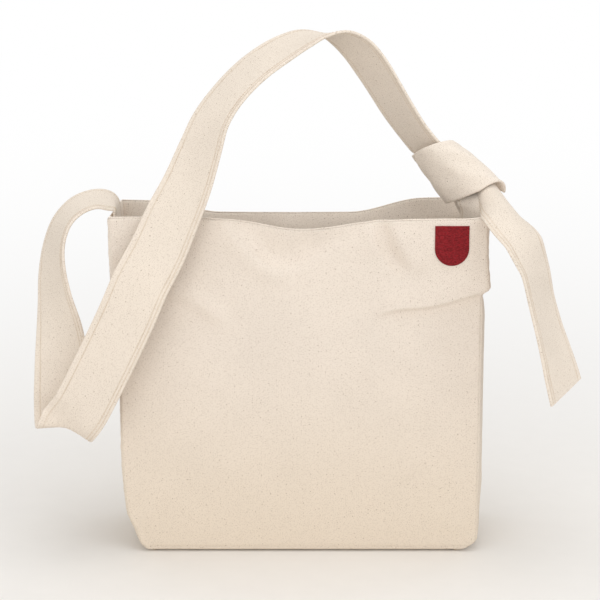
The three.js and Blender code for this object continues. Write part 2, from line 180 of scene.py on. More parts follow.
def grid_normals(points, closed):
    """Unit normals of a grid of points, columns first."""
    if closed:
        along = np.roll(points, -1, 0) - np.roll(points, 1, 0)
    else:
        along = np.gradient(points, axis=0)
    across = np.gradient(points, axis=1)
    return unit(np.cross(along, across))


# The bag's walls: share runs from the left corner to the right one, or from the front to the back


def tuck_at(side, z):
    return sum(reach * np.maximum(0, 1 - z / height) ** power for reach, height, power in BASE_TUCK[side])


def corner_x(side, z):
    low, high = FLARE[side]
    flare = RIM_FLARE * smoothstep(z, low * BAG_HEIGHT, high * BAG_HEIGHT)
    flare = flare + RIM_PULL[side] * smoothstep(z, PULL_START * BAG_HEIGHT, PULL_END * BAG_HEIGHT)
    return side * (BAG_HALF_WIDTH + flare - tuck_at(side, z))


def front_dip(x):
    right = RIGHT_SAG * smoothstep(x, *RIGHT_SAG_IN) * (1 - smoothstep(x, *RIGHT_SAG_OUT))
    return FRONT_SAG * bump(x, FRONT_SAG_X, FRONT_SAG_WIDTH) + right


def back_dip(x):
    sag = BACK_SAG * (1 - smoothstep(np.abs(x - BACK_SAG_X), *BACK_SAG_EDGE))
    return sag - BACK_RISE * smoothstep(x, *BACK_RISE_IN)


def arched(share):
    return 1 - (2 * share - 1) ** 2


def rim_height(wall, share):
    if wall not in LONG_WALLS:
        return BAG_HEIGHT - SIDE_RIM_DIP * arched(share)
    x = (2 * share - 1) * RIM_HALF_WIDTH
    return BAG_HEIGHT - (front_dip(x) if wall == "front" else back_dip(x))


def towards_rim(z, share):
    """Rises from 0 to 1 between a share of the height and the rim."""
    return smoothstep(z, share * BAG_HEIGHT, BAG_HEIGHT)


def end_bulge(side, y):
    return side * SIDE_BULGE * (1 - (y / HALF_DEPTH) ** 4)


def wall_point(wall, share, z):
    share, z = np.broadcast_arrays(np.asarray(share, float), np.asarray(z, float))
    if wall in LONG_WALLS:
        left, right = corner_x(-1, z), corner_x(1, z)
        x = left + (right - left) * share
        belly = FRONT_BELLY * np.sin(np.pi * z / BAG_HEIGHT)
        if wall == "front":
            lean = FRONT_LEAN * bump(x, FRONT_SAG_X, FRONT_LEAN_WIDTH) * towards_rim(z, FRONT_LEAN_FROM)
            y = -(HALF_DEPTH + (belly - lean) * arched(share))
        else:
            lean = BACK_LEAN * towards_rim(z, BACK_LEAN_FROM) - BACK_TURN * towards_rim(z, BACK_TURN_FROM)
            y = HALF_DEPTH + (belly - lean) * arched(share)
        return np.stack([x, y, z], -1)
    side = -1 if wall == "left" else 1
    y = (2 * share - 1) * HALF_DEPTH
    return np.stack([corner_x(side, z) + end_bulge(side, y), y, z], -1)


# Folds: each is a line of points (x or y, z), its height outward and its width. Its kind and its strength
# at each end follow, unless it is soft and dies away at both.
# A rolled fold rises sharply at its line and falls away slowly above it, as cloth that hangs over itself.
# A hollow is steep below its line and wide above it.
SOFT, ROLLED, HOLLOW = 0, 1, 2
FOLDS = {
    "front": [
        ([(72, 245), (85, 252), (100, 256), (120, 257), (140, 260), (160, 266), (180, 272), (188, 275)],
         4.6, 15, ROLLED, 0, 1),
        ([(-62, 342), (-43, 326), (-31, 313), (-19, 307), (-5, 309), (13, 319), (30, 328), (52, 336)],
         -7.4, 8, HOLLOW, 0.6, 0.1),
        ([(-76, 338), (-56, 314), (-40, 300), (-20, 292), (4, 292)], 3.2, 12, SOFT, 0.1, 0),
        ([(79, 347), (83, 332), (88, 318), (98, 302), (110, 288)], -6.4, 7, SOFT, 0.7, 0),
        ([(68, 344), (71, 326), (78, 306)], 1.8, 8, SOFT, 0.5, 0),
        ([(95, 342), (102, 324), (114, 305), (124, 290)], 2.9, 9, SOFT, 0.3, 0),
        ([(-150, 270), (-130, 275), (-112, 272), (-95, 261), (-81, 248), (-70, 230)], 3.6, 10),
        ([(140, 246), (157, 238), (156, 215), (146, 190)], -1.8, 17, SOFT, 0.4, 0),
        ([(92, 72), (116, 96), (134, 112)], 1.1, 8),
        ([(-150, 120), (-90, 90), (-40, 84)], 0.8, 22),
        ([(20, 190), (70, 176), (120, 186)], -0.8, 26),
        ([(-172, 24), (-150, 48), (-132, 84)], 1.2, 9),
        ([(166, 20), (150, 34), (140, 58)], 1.0, 8),
    ],
    "back": [
        ([(-188, 268), (-160, 262), (-118, 250), (-84, 252)], 2.0, 17, ROLLED, 1, 0),
        ([(188, 269), (150, 266), (112, 256), (76, 240)], 1.8, 17, ROLLED, 1, 0),
        ([(-30, 335), (0, 312), (44, 306)], -2.4, 11),
        ([(-140, 90), (-70, 66), (10, 74)], 1.2, 22),
        ([(40, 170), (100, 150), (150, 168)], -1.2, 22),
        ([(160, 18), (140, 44), (128, 78)], 1.2, 9),
    ],
    "left": [
        ([(-60, 266), (-10, 272), (60, 268)], 1.9, 15, ROLLED, 0.5, 1),
        ([(2, 250), (-4, 150), (3, 40)], -3.4, 19, SOFT, 0, 0.2),
        ([(-40, 92), (0, 80), (44, 96)], 1.2, 12),
    ],
    "right": [
        ([(-60, 275), (-14, 267), (20, 268), (60, 269)], 2.6, 12, ROLLED, 1, 1),
        ([(-20, 240), (-19, 150), (-20, 14)], 4.8, 27, SOFT, 0.9, 0.7),
        ([(30, 236), (34, 140), (28, 40)], -2.4, 15, SOFT, 0, 0.2),
        ([(-44, 60), (0, 74), (40, 62)], 1.2, 12),
    ],
}
END_REACH = 0.3  # the share of a fold's length over which it fades
HOLLOW_SPREAD = 2.6  # how much wider a hollow is above its line
ROLL_FOOT, ROLL_TOP = -1.8, 2.4  # where a rolled fold starts to rise, and where it is highest
ROLL_SPREAD = 1.7  # how much wider a rolled fold is above its line
CREASE, CREASE_AT, CREASE_WIDTH = 0.28, -4.5, 4  # the crease under it, as a share of its height


def nearest_on_line(a, z, line):
    """Distance from (a, z) to a line of points, the side it lies on, and the share of the line's length."""
    best = np.full(np.shape(z), np.inf)
    side = np.zeros(np.shape(z))
    along = np.zeros(np.shape(z))
    for k, ((a0, z0), (a1, z1)) in enumerate(zip(line, line[1:])):
        da, dz = a1 - a0, z1 - z0
        length = math.hypot(da, dz)
        t = np.clip(((a - a0) * da + (z - z0) * dz) / length**2, 0, 1)
        off = np.hypot(a - a0 - t * da, z - z0 - t * dz)
        nearer = off < best
        best = np.where(nearer, off, best)
        above = np.sign((z - z0) * da - (a - a0) * dz) * (1 if da >= 0 else -1)
        side = np.where(nearer, above, side)
        along = np.where(nearer, (k + t) / (len(line) - 1), along)
    return best, side, along


def fold_relief(a, z, line, height, width, kind=SOFT, first=0, last=0):
    """Height outward at (a, z) of one fold along a line of points."""
    best, side, along = nearest_on_line(a, z, line)
    start = first + (1 - first) * smoothstep(along, 0, END_REACH)
    end = last + (1 - last) * smoothstep(1 - along, 0, END_REACH)
    strength = height * (start * end)
    signed = best * side
    if kind == SOFT:
        return strength * bump(best, 0, width)
    if kind == HOLLOW:
        return strength * np.where(signed > 0, bump(signed, 0, HOLLOW_SPREAD * width), bump(signed, 0, width))
    rise = smoothstep(signed, ROLL_FOOT, ROLL_TOP)
    fall = bump(np.maximum(signed - ROLL_TOP, 0), 0, ROLL_SPREAD * width)
    return strength * (rise * fall - CREASE * bump(signed, CREASE_AT, CREASE_WIDTH))


def soft_noise(seed, a, z, wavelength, count=14):
    """A smooth random swell, from 0 to about 1 either way."""
    source = np.random.default_rng(seed)
    total = np.zeros(np.shape(z))
    for _ in range(count):
        angle, phase = source.uniform(0, np.pi), source.uniform(0, 2 * np.pi)
        k = 2 * np.pi / (wavelength * source.uniform(0.7, 1.6))
        total = total + np.sin(k * (a * math.cos(angle) + z * math.sin(angle)) + phase)
    return total / math.sqrt(count)


WALL_SEEDS = {"front": 11, "right": 12, "back": 13, "left": 14}
SWELLS = ((0.4, 150, 0), (0.09, 28, 50))  # height, wavelength and what is added to the wall's seed
SWELL_FADE = 0.16  # the share of a wall's half width over which its swells fade at a seam
STIFF_SHARE, STIFF_HEIGHT = 0.2, 22  # what is left of a fold at the base, and from where up it is whole

# Corner seams: heights of the groove, the ridge beside it and the puckers, each with its distance and width
GROOVE, RIDGE, SEAM_PUCKER = (-0.9, 0, 0.9), (0.45, 3.2, 2.4), (0.25, 4, 4)
SEAM_PUCKER_LENGTH, SEAM_PUCKER_SEED = 9, 90
# Puckers along the base seam
FOOT_PUCKER, FOOT_PUCKER_LENGTH, FOOT_PUCKER_SEED = (0.22, 6, 3), 8, 70


def relief(wall, a, z):
    """Height outward of the folds of a wall, where a is x or y."""
    half = RIM_HALF_WIDTH if wall in LONG_WALLS else HALF_DEPTH
    folds = sum(fold_relief(a, z, *fold) for fold in FOLDS[wall])
    swell = sum(height * soft_noise(WALL_SEEDS[wall] + seed, a, z, length) for height, length, seed in SWELLS)
    swell = swell * smoothstep(half - np.abs(a), 0, SWELL_FADE * half)
    return (folds + swell) * (STIFF_SHARE + (1 - STIFF_SHARE) * smoothstep(z, 0, STIFF_HEIGHT))


def ridge(x, height, middle, width):
    return height * bump(x, middle, width)


def seam_relief(wall, d, z):
    """The groove of a corner seam and the puckers beside it, where d is the distance from the seam."""
    puckers = soft_noise(WALL_SEEDS[wall] + SEAM_PUCKER_SEED, d, z, SEAM_PUCKER_LENGTH)
    return ridge(d, *GROOVE) + ridge(d, *RIDGE) + puckers * ridge(d, *SEAM_PUCKER)


SEAM_COLUMNS = [0, 0.45, 0.9, 1.5, 2.3, 3.4, 5]


def wall_shares(length, step):
    """Shares across a wall, close together at the seams."""
    near = np.array(SEAM_COLUMNS) / length
    count = int((length - 2 * SEAM_COLUMNS[-1]) / step)
    middle = np.linspace(near[-1], 1 - near[-1], count + 1)
    return np.concatenate([near[:-1], middle, (1 - near[:-1])[::-1]])


def outer_columns(step):
    """Each wall's name, shares and length round the bag. A wall's last share is the next one's first."""
    wide, deep = 2 * RIM_HALF_WIDTH, 2 * HALF_DEPTH
    loop = []
    for wall, length in (("front", wide), ("right", deep), ("back", wide), ("left", deep)):
        shares = wall_shares(length, step)[:-1]
        loop.append((wall, shares if wall in ("front", "right") else 1 - shares, length))
    return loop


# The base seam: the wall rolls over a ridge, dips into the seam and turns under
FOOT_HEIGHTS = [0, 0.5, 1.2, 2.0, 3.0, 4.2, 5.2, 6.4, 8.5, 11]
FOOT_INSETS = [9, 6, 3.6, 1.7, 0.4, -0.2, 0.75, 0.1, -0.1, 0]
TOP_HEIGHTS = [338, 341, 344, 346.5, 348.5, 350]
# Rows of the walls, as shares of their height: closest at the crease under the mouth
HEIGHTS = np.concatenate([FOOT_HEIGHTS, np.arange(13.5, 232, 2.6), np.arange(233, 277, 1.3),
                          np.arange(278, 336, 2.2), TOP_HEIGHTS]) / TOP_HEIGHTS[-1]
WALL_STEP = 2.5
CORNER_ROUND = 3  # the distance over which a wall's relief turns into the corner's
RIM_ROUND_FROM = 0.9  # the share of the height from where the rows make room for the rim's round


def wall_grid(wall, shares, length, heights):
    """Outer points of a wall with its folds, one column per share, one row per height share."""
    s = shares[:, None]
    z = rim_height(wall, s) * heights[None, :]
    z = z - (RIM_THICK / 2) * smoothstep(heights[None, :], RIM_ROUND_FROM, 1)
    base = wall_point(wall, s, z)
    outward = OUTWARD[wall]
    normal = grid_normals(base, False)
    normal = normal * np.sign((normal * np.array(outward)).sum(-1, keepdims=True))
    a = base[..., 0] if wall in LONG_WALLS else base[..., 1]
    d = np.minimum(s, 1 - s) * length + 0 * z
    raised = relief(wall, a, z) + seam_relief(wall, d, z)
    corner = smoothstep(d, 0, CORNER_ROUND)[..., None]
    towards = np.where(s > 0.5, 1, -1)
    sign_x, sign_y = (towards, outward[1]) if wall in LONG_WALLS else (outward[0], towards)
    diagonal = np.stack([0 * z + sign_x, 0 * z + sign_y, 0 * z], -1) / math.sqrt(2)
    normal = unit(normal * corner + diagonal * (1 - corner))
    inset = np.interp(z, FOOT_HEIGHTS, FOOT_INSETS)
    puckers = soft_noise(WALL_SEEDS[wall] + FOOT_PUCKER_SEED, a, z * 0, FOOT_PUCKER_LENGTH)
    puckers = ridge(z, *FOOT_PUCKER) * puckers
    points = base + normal * (raised + puckers - inset)[..., None]
    points[..., 2] = z
    return points


def shell_columns():
    """The walls' outer points by columns, and where each column's faces start and end along its wall."""
    columns, walls, along, ends = [], [], [], {}
    for wall, shares, length in outer_columns(WALL_STEP):
        columns.append(wall_grid(wall, shares, length, HEIGHTS))
        walls += [wall] * len(shares)
        along += list(shares * length)
        ends[wall] = length if wall in ("front", "right") else 0
    after = zip(walls[1:] + walls[:1], along[1:] + along[:1])
    spans = [(u, next_u if next_wall == wall else ends[wall])
             for wall, u, (next_wall, next_u) in zip(walls, along, after)]
    return np.concatenate(columns), spans


LIP_ANGLES = (30, 60, 90, 120, 150)


def rim_rings(edge, level):
    """The round between the walls' top edge and the facing's. Its rings run from the facing to the wall, so
    the faces at its two edges cross inside it."""
    middle = edge - RIM_THICK / 2 * level
    rings = []
    for angle in np.radians(LIP_ANGLES[::-1]):
        ring = middle + RIM_THICK / 2 * math.cos(angle) * level
        ring[:, 2] += RIM_THICK / 2 * math.sin(angle)
        rings.append(ring)
    return rings


FLOOR_SHARES = (0.985, 0.95, 0.88, 0.76, 0.6, 0.42, 0.24, 0.1)  # rings of the base, from its edge inward
FLOOR_LIFT = 0.7  # how high the base's inside lies over the thickness of its cloth
FLOOR_SWELL, FLOOR_SWELL_LENGTH, FLOOR_SWELL_SEED, FLOOR_DEEPEST = 0.5, 60, 31, -0.6
FLOOR_EDGE = 0.9  # the share from where the base turns up into the walls


def floor_rings(foot):
    """Rings of the base's inside, a little uneven."""
    rings = []
    for share in FLOOR_SHARES:
        ring = foot * np.array([share, share, 0])
        swell = FLOOR_SWELL * soft_noise(FLOOR_SWELL_SEED, ring[:, 0], ring[:, 1], FLOOR_SWELL_LENGTH)
        level = CANVAS + FLOOR_LIFT + np.maximum(FLOOR_DEEPEST, swell) * (1 - share)
        ring[:, 2] = level + (foot[:, 2] - level) * smoothstep(share, FLOOR_EDGE, 1)
        rings.append(ring)
    return rings


FACING_HEM = 0.6  # half the height over which the facing's lower edge thins out
LOWEST_INNER_ROW = 7  # the inside starts above the base seam


def bag_shell(materials):
    """One closed shell: walls, turned rim, facing and base. Its inside has the second material."""
    outer, spans = shell_columns()
    count, rows = outer.shape[:2]
    level = unit(grid_normals(outer, True) * np.array([1, 1, 0.0]))
    depth = outer[:, -1:, 2] - outer[..., 2]
    hem = smoothstep(depth, FACING_DEPTH - FACING_HEM, FACING_DEPTH + FACING_HEM)
    thick = CANVAS + (RIM_THICK - CANVAS) * (1 - hem)
    inner = outer - thick[..., None] * level
    rim = rim_rings(outer[:, -1], level[:, -1])
    inside = [inner[:, k] for k in range(rows - 1, LOWEST_INNER_ROW - 1, -1)]
    rings = [outer[:, k] for k in range(rows)] + rim + inside + floor_rings(inside[-1])
    under = [outer[:, 0] * np.array([share, share, 0]) for share in FLOOR_SHARES[::-1]]
    stack = np.stack(rings + under, 1)
    total, split = stack.shape[1], len(rings)
    points = stack.reshape(-1, 3)

    faces = [f for f in grid_faces(count, total, True, True) if f[0] % total != split - 1]
    inside_from = rows + len(rim) // 2
    flat_from = split - len(FLOOR_SHARES) - 1
    kinds, uvs = [], []
    for quad in faces:
        i, j = divmod(quad[0], total)
        kinds.append(1 if inside_from <= j < split else 0)
        if j < flat_from:
            (u0, u1), heights = spans[i], points[list(quad), 2]
            uvs.extend(np.stack([(u0, u1, u1, u0), heights], 1) * MM)
        else:
            uvs.extend(flat_uvs(points, [quad], [0, 1]))
    for ring, kind, turn in ((split - 1, 1, 1), (split, 0, -1)):
        hub = len(points)
        points = np.vstack([points, stack[:, ring].mean(0)])
        fans = [(i * total + ring, (i + 1) % count * total + ring, hub)[::turn] for i in range(count)]
        faces += fans
        kinds += [kind] * count
        uvs.extend(flat_uvs(points, fans, [0, 1]))
    return mesh_object("bag_shell", points, faces, materials, kinds, uvs)


# Straps


def catmull_rom(points, times):
    """Centripetal Catmull-Rom through points (n, 3), at times from 0 to n - 1."""
    points = np.asarray(points, float)
    padded = np.vstack([2 * points[0] - points[1], points, 2 * points[-1] - points[-2]])
    index = np.clip(np.floor(times).astype(int), 0, len(points) - 2)
    local = times - index
    p = [padded[index + k] for k in range(4)]
    gaps = [np.maximum(np.linalg.norm(b - a, axis=1) ** 0.5, 1e-4) for a, b in zip(p, p[1:])]
    t0 = np.zeros(len(times))
    t1, t2, t3 = gaps[0], gaps[0] + gaps[1], gaps[0] + gaps[1] + gaps[2]
    t = t1 + local * (t2 - t1)

    def mix(a, b, ta, tb):
        w = ((t - ta) / (tb - ta))[:, None]
        return a * (1 - w) + b * w

    a1, a2, a3 = mix(p[0], p[1], t0, t1), mix(p[1], p[2], t1, t2), mix(p[2], p[3], t2, t3)
    b1, b2 = mix(a1, a2, t0, t2), mix(a2, a3, t1, t3)
    return mix(b1, b2, t1, t2)


def smoothed(values, steps, ends):
    """A running mean. With ends the line is carried on past them, and otherwise their values are held."""
    kernel = np.hanning(2 * steps + 3)[1:-1]
    kernel = kernel / kernel.sum()
    head = 2 * values[:1] - values[1 : steps + 1][::-1] if ends else np.repeat(values[:1], steps, 0)
    tail = 2 * values[-1:] - values[-steps - 1 : -1][::-1] if ends else np.repeat(values[-1:], steps, 0)
    long = np.vstack([head, values, tail])
    return np.stack([np.convolve(long[:, k], kernel, "valid") for k in range(values.shape[1])], 1)


STRAIGHT = 1e-3  # the least roll, in radians
FINE_STEPS = 40  # points between two stations while a route's length is measured


class Route:
    """A strap's route. A station is a point, the way from one selvage to the other, and a roll in degrees."""

    def __init__(self, width, stations, smooth_mm=16):
        self.width = width
        at = np.array([s[0] for s in stations], float)
        edge = unit(np.array([s[1] for s in stations], float))
        curl = np.array([[s[2] if len(s) > 2 else 0] for s in stations], float)
        fine = np.linspace(0, len(at) - 1, FINE_STEPS * (len(at) - 1) + 1)
        line = catmull_rom(at, fine)
        lengths = np.concatenate([[0], np.cumsum(np.linalg.norm(np.diff(line, axis=0), axis=1))])
        self.length = lengths[-1]
        count = int(self.length) + 1
        self.s = np.linspace(0, self.length, count)
        times = np.interp(self.s, lengths, fine)
        self.station_s = np.interp(np.arange(len(at)), fine, lengths)
        half = max(1, int(smooth_mm / 2))
        self.centre = smoothed(catmull_rom(at, times), half, True)
        self.edge = smoothed(catmull_rom(edge, times), half, False)
        local = np.interp(times, np.arange(len(at)), curl[:, 0])
        self.curl = smoothed(local[:, None], half, False)[:, 0]

    def frame(self, s):
        """Centre, along, edge, face and roll at distances s."""
        centre = np.stack([np.interp(s, self.s, self.centre[:, k]) for k in range(3)], -1)
        tangent = np.gradient(self.centre, self.s, axis=0)
        along = unit(np.stack([np.interp(s, self.s, tangent[:, k]) for k in range(3)], -1))
        edge = np.stack([np.interp(s, self.s, self.edge[:, k]) for k in range(3)], -1)
        edge = unit(edge - along * (edge * along).sum(-1, keepdims=True))
        face = np.cross(along, edge)
        curl = np.radians(np.interp(s, self.s, self.curl))
        return centre, along, edge, face, curl

    def surface(self, s, d):
        """Points and normals at distance s along and d across, from minus to plus half the width."""
        s, d = np.broadcast_arrays(np.asarray(s, float), np.asarray(d, float))
        centre, along, edge, face, curl = self.frame(s)
        roll = np.where(np.abs(curl) < STRAIGHT, STRAIGHT, curl)
        radius = self.width / roll
        angle = d / radius
        sine, cosine = np.sin(angle)[..., None], np.cos(angle)[..., None]
        radius = radius[..., None]
        point = centre + edge * (radius * sine) + face * (radius * (1 - cosine))
        return point, face * cosine - edge * sine, along


SELVAGE = 1.5  # the width over which a strap's edge is rounded
STITCH_DENT, STITCH_DENT_WIDTH = 0.22, 0.9
EDGE_STEPS = (0, 0.12, 0.45, 0.95, 1.5, 2.1)  # places from a selvage inward
ROW_STEPS = (-1.5, -0.75, 0, 0.75, 1.5)  # places across a row of stitches
MIDDLE_STEP, EDGE_CLEAR, ROW_CLEAR = 3.2, 2.6, 0.9


def strap_half_thickness(width, thick, rows, d):
    """Half the thickness at d across: rounded edges, and a dent along each row of stitches."""
    from_edge = np.clip((width / 2 - np.abs(d)) / SELVAGE, 0, 1)
    half = thick / 2 * np.sqrt(np.clip(1 - (1 - from_edge) ** 2, 0, 1))
    for row in rows:
        half = half - STITCH_DENT * bump(d, row, STITCH_DENT_WIDTH)
    return np.maximum(half, 0)


def across_steps(width, rows):
    """Places across a strap: close together at its edges and its rows of stitches."""
    places = {round(side * (width / 2 - step), 3) for step in EDGE_STEPS for side in (-1, 1)}
    places |= {round(row + step, 3) for row in rows for step in ROW_STEPS}
    inner = width / 2 - EDGE_CLEAR
    for place in np.linspace(-inner, inner, int(2 * inner / MIDDLE_STEP) + 1):
        if all(abs(place - other) > ROW_CLEAR for other in places):
            places.add(round(float(place), 3))
    return np.array(sorted(places))


STITCH_PITCH, STITCH_LENGTH, STITCH_RADIUS = 3.4, 2.5, 0.3
STITCH_RISE = 0.06  # how far the middle of a stitch stands off the cloth
# Rings of a stitch: place along it, and radius as a share of the thread's
STITCH_RINGS = [(-0.5, 0.05), (-0.46, 0.6), (-0.25, 1.0), (0.25, 1.0), (0.46, 0.6), (0.5, 0.05)]
STITCH_ANGLES = np.radians(range(0, 360, 72))


def stitch(middle, along, normal):
    """The points of one stitch, a small capsule."""
    across = np.cross(along, normal)
    lifts = [normal * math.sin(angle) + across * math.cos(angle) for angle in STITCH_ANGLES]
    return [middle + along * where * STITCH_LENGTH + lift * STITCH_RADIUS * wide
            for where, wide in STITCH_RINGS for lift in lifts]


def stitches(route, rows, start, end, thick, slant):
    """Thread stitches on both faces of a strap."""
    points, faces = [], []
    for row in rows:
        last = end + slant * row / route.width - STITCH_PITCH / 2
        half = strap_half_thickness(route.width, thick, rows, np.array([row]))[0] + STITCH_RISE
        for s in np.arange(start + STITCH_PITCH, last, STITCH_PITCH):
            point, normal, along = (v[0] for v in route.surface([s], [row]))
            for side in (-1, 1):
                faces += tube_faces(len(STITCH_RINGS), len(STITCH_ANGLES), flip=True, start=len(points))
                points += stitch(point + side * normal * half, along, normal)
    return np.array(points), faces


END_LOOP = 0.03  # from a piece's end to a ring of points that keeps its shading straight up to the end
RIPPLE, RIPPLE_LENGTH, RIPPLE_FADE = 0.16, 34, 8


def end_faces(around, ring):
    """Faces over a strap's end, from one selvage to the other."""
    quads = [(j, j + 1, around - j - 1, (around - j) % around) for j in range(around // 2)]
    return shifted([tuple(dict.fromkeys(quad)) for quad in quads], ring * around)


def strap_piece(name, route, start, end, thick, rows, materials, step=2.4, slant=0, seed=5):
    """A closed strap between two distances along a route, with its stitches."""
    d = across_steps(route.width, rows)
    half = strap_half_thickness(route.width, thick, rows, d)
    count = max(4, int((end - start) / step))
    edge = END_LOOP / (end - start)
    t = np.concatenate([[0, edge], np.linspace(0, 1, count + 1)[1:-1], [1 - edge, 1]])
    s = (start + (end - start) * t)[:, None] + slant * t[:, None] * (d / route.width)[None, :]
    point, normal, _ = route.surface(s, np.broadcast_to(d, s.shape))
    ripple = RIPPLE * soft_noise(seed, s, np.broadcast_to(d, s.shape), RIPPLE_LENGTH)
    ripple = ripple * smoothstep(route.width / 2 - np.abs(d), 0, RIPPLE_FADE)
    point = point + normal * ripple[..., None]
    top, under = point + normal * half[None, :, None], point - normal * half[None, :, None]
    loop = np.concatenate([top, under[:, -2:0:-1]], 1)
    across = np.concatenate([d, d[-2:0:-1]])
    rings, around = loop.shape[:2]
    points = loop.reshape(-1, 3)
    faces = grid_faces(rings, around, closed_rows=True, flip=True)
    caps = range(len(faces), len(faces) + 2 * (around // 2))
    faces += end_faces(around, 0) + [face[::-1] for face in end_faces(around, rings - 1)]
    uvs = [(s[q // around, 0], across[q % around]) for face in faces for q in face]
    kinds = [0] * len(faces)
    thread_points, thread_faces = stitches(route, rows, start, end, thick, slant)
    faces += shifted(thread_faces, len(points))
    kinds += [1] * len(thread_faces)
    uvs += [(0, 0)] * sum(len(face) for face in thread_faces)
    points = np.vstack([points, thread_points])
    return mesh_object(name, points, faces, materials, kinds, np.array(uvs) * MM, caps)


# Stations follow the part's source: x from the rim's ends or as a share of it, y as a share of half the depth
# in front of the middle, z from the rim's height


def over_bag(share, forward, rise):
    return (RIM_END * (2 * share - 1), -forward * HALF_DEPTH, BAG_HEIGHT + rise)


def off_left(out, forward, rise):
    return (-RIM_END - out, -forward * HALF_DEPTH, BAG_HEIGHT + rise)


def off_right(out, forward, rise):
    return (RIM_END + out, -forward * HALF_DEPTH, BAG_HEIGHT + rise)


INSIDE_WALL = 3.6  # from the outside of an end wall to the inside of its facing
CLEAR = 0.3


def inside_x(side, z, thick):
    return side * (abs(float(corner_x(side, z))) + SIDE_BULGE - INSIDE_WALL - thick / 2 - CLEAR)


STRAP_STATIONS = [((inside_x(-1, z, STRAP_THICK), 0, z), (0, -1, 0)) for z in (290, 320, 345)] + [
    (off_left(-1, 0, 5.5), (0.08, -0.98, -0.12)),
    (off_left(9, 0.04, 8.8), (0.2, -0.94, -0.22)),
    (off_left(22, 0.1, 9.4), (0.27, -0.95, -0.16)),
    (off_left(37.5, 0.2, 3.5), (0.32, -0.93, -0.12)),
    (off_left(51.5, 0.3, -10.5), (0.42, -0.91, 0)),
    (off_left(60, 0.38, -34), (0.48, -0.87, 0.1)),
    (off_left(62, 0.48, -62), (0.58, -0.79, 0.18)),
    (off_left(59, 0.6, -90), (0.7, -0.68, 0.24)),
    (off_left(54, 0.74, -122), (0.88, -0.42, 0.18)),
    (off_left(51, 0.9, -160), (0.98, -0.12, 0.05)),
    (off_left(50.5, 1.0, -184), (0.99, 0.02, -0.06)),
    (off_left(50, 1.06, -201), (0.98, 0.01, -0.13)),
    (off_left(46.5, 1.27, -211.5), (0.96, -0.14, -0.19)),
    (off_left(37.5, 1.45, -201.5), (0.9, -0.27, -0.34)),
    (off_left(28.5, 1.54, -189), (0.89, -0.16, -0.42)),
    (off_left(4, 1.55, -142), (0.89, -0.18, -0.42)),
    (over_bag(0.051, 1.51, -94), (0.89, -0.18, -0.42)),
    (over_bag(0.088, 1.44, -62), (0.89, -0.2, -0.4)),
    (over_bag(0.132, 1.34, -31), (0.89, -0.27, -0.38)),
    (over_bag(0.168, 1.24, 0), (0.88, -0.36, -0.32)),
    (over_bag(0.208, 1.12, 33), (0.82, -0.53, -0.2)),
    (over_bag(0.242, 0.98, 68), (0.73, -0.67, -0.13)),
    (over_bag(0.268, 0.87, 94), (0.61, -0.77, -0.16)),
    (over_bag(0.311, 0.77, 118), (0.51, -0.83, -0.21)),
    (over_bag(0.37, 0.66, 141), (0.47, -0.84, -0.24)),
    (over_bag(0.44, 0.54, 160), (0.4, -0.88, -0.28)),
    (over_bag(0.511, 0.42, 173.5), (0.29, -0.94, -0.2)),
    (over_bag(0.558, 0.35, 177), (0.22, -0.98, -0.01)),
    (over_bag(0.605, 0.28, 174), (0.33, -0.91, 0.22)),
    (over_bag(0.648, 0.21, 163), (0.46, -0.84, 0.27)),
    (over_bag(0.686, 0.15, 145), (0.51, -0.82, 0.25)),
    (over_bag(0.722, 0.1, 124), (0.49, -0.83, 0.24)),
    (over_bag(0.758, 0.06, 102), (0.47, -0.84, 0.24)),
    (over_bag(0.796, 0.03, 81), (0.44, -0.87, 0.23)),
    (over_bag(0.834, 0, 61), (0.39, -0.87, 0.3), -16),
    (over_bag(0.87, -0.03, 45), (0.39, -0.87, 0.3), -80),
    (over_bag(0.9, -0.03, 33), (0.39, -0.87, 0.3), -130),
]
FOOT_STATION, CROSSING_STATION = 15, 22  # the fold at the loop's foot, and the place over the front rim
STRAP_ROWS = (-22.5, 22.6, 25.9)  # one row of stitches near the far edge, two near the other
KEEPER_ROWS = (-13.5, 13.5)

TAIL_STATIONS = [
    (off_right(1, 0.1, 34), (-0.76, -0.6, 0.2), 320),
    (off_right(5.5, 0.25, 25.5), (-0.75, -0.6, 0.22), 310),
    (off_right(10.5, 0.62, 16.5), (-0.79, -0.57, 0.16), 250),
    (off_right(17.5, 1.12, 3), (-0.83, -0.54, 0.1), 105),
    (off_right(30.5, 1.36, -20.5), (-0.72, -0.69, 0.02), 20),
    (off_right(40.5, 1.43, -48.5), (-0.57, -0.82, 0), 0),
    (off_right(47, 1.51, -78), (-0.54, -0.84, 0.02), 0),
    (off_right(54, 1.6, -104), (-0.56, -0.83, 0.02), 0),
    (off_right(61, 1.69, -128), (-0.62, -0.78, 0.03), 0),
    (off_right(67, 1.77, -150), (-0.68, -0.73, 0.04), 0),
    (off_right(73, 1.86, -174), (-0.7, -0.71, 0.04), 0),
]
TAIL_CUT = 17

KEEPER_TOP = SIDE_RIM_DIP + 6
LEG_GAP = 0.6


def keeper_leg(leg, depth):
    z = BAG_HEIGHT - (KEEPER_TOP + depth)
    x = inside_x(1, z, KEEPER_THICK) - CLEAR - leg * (KEEPER_THICK + LEG_GAP)
    return ((x, 0, z), (0, -1, 0))


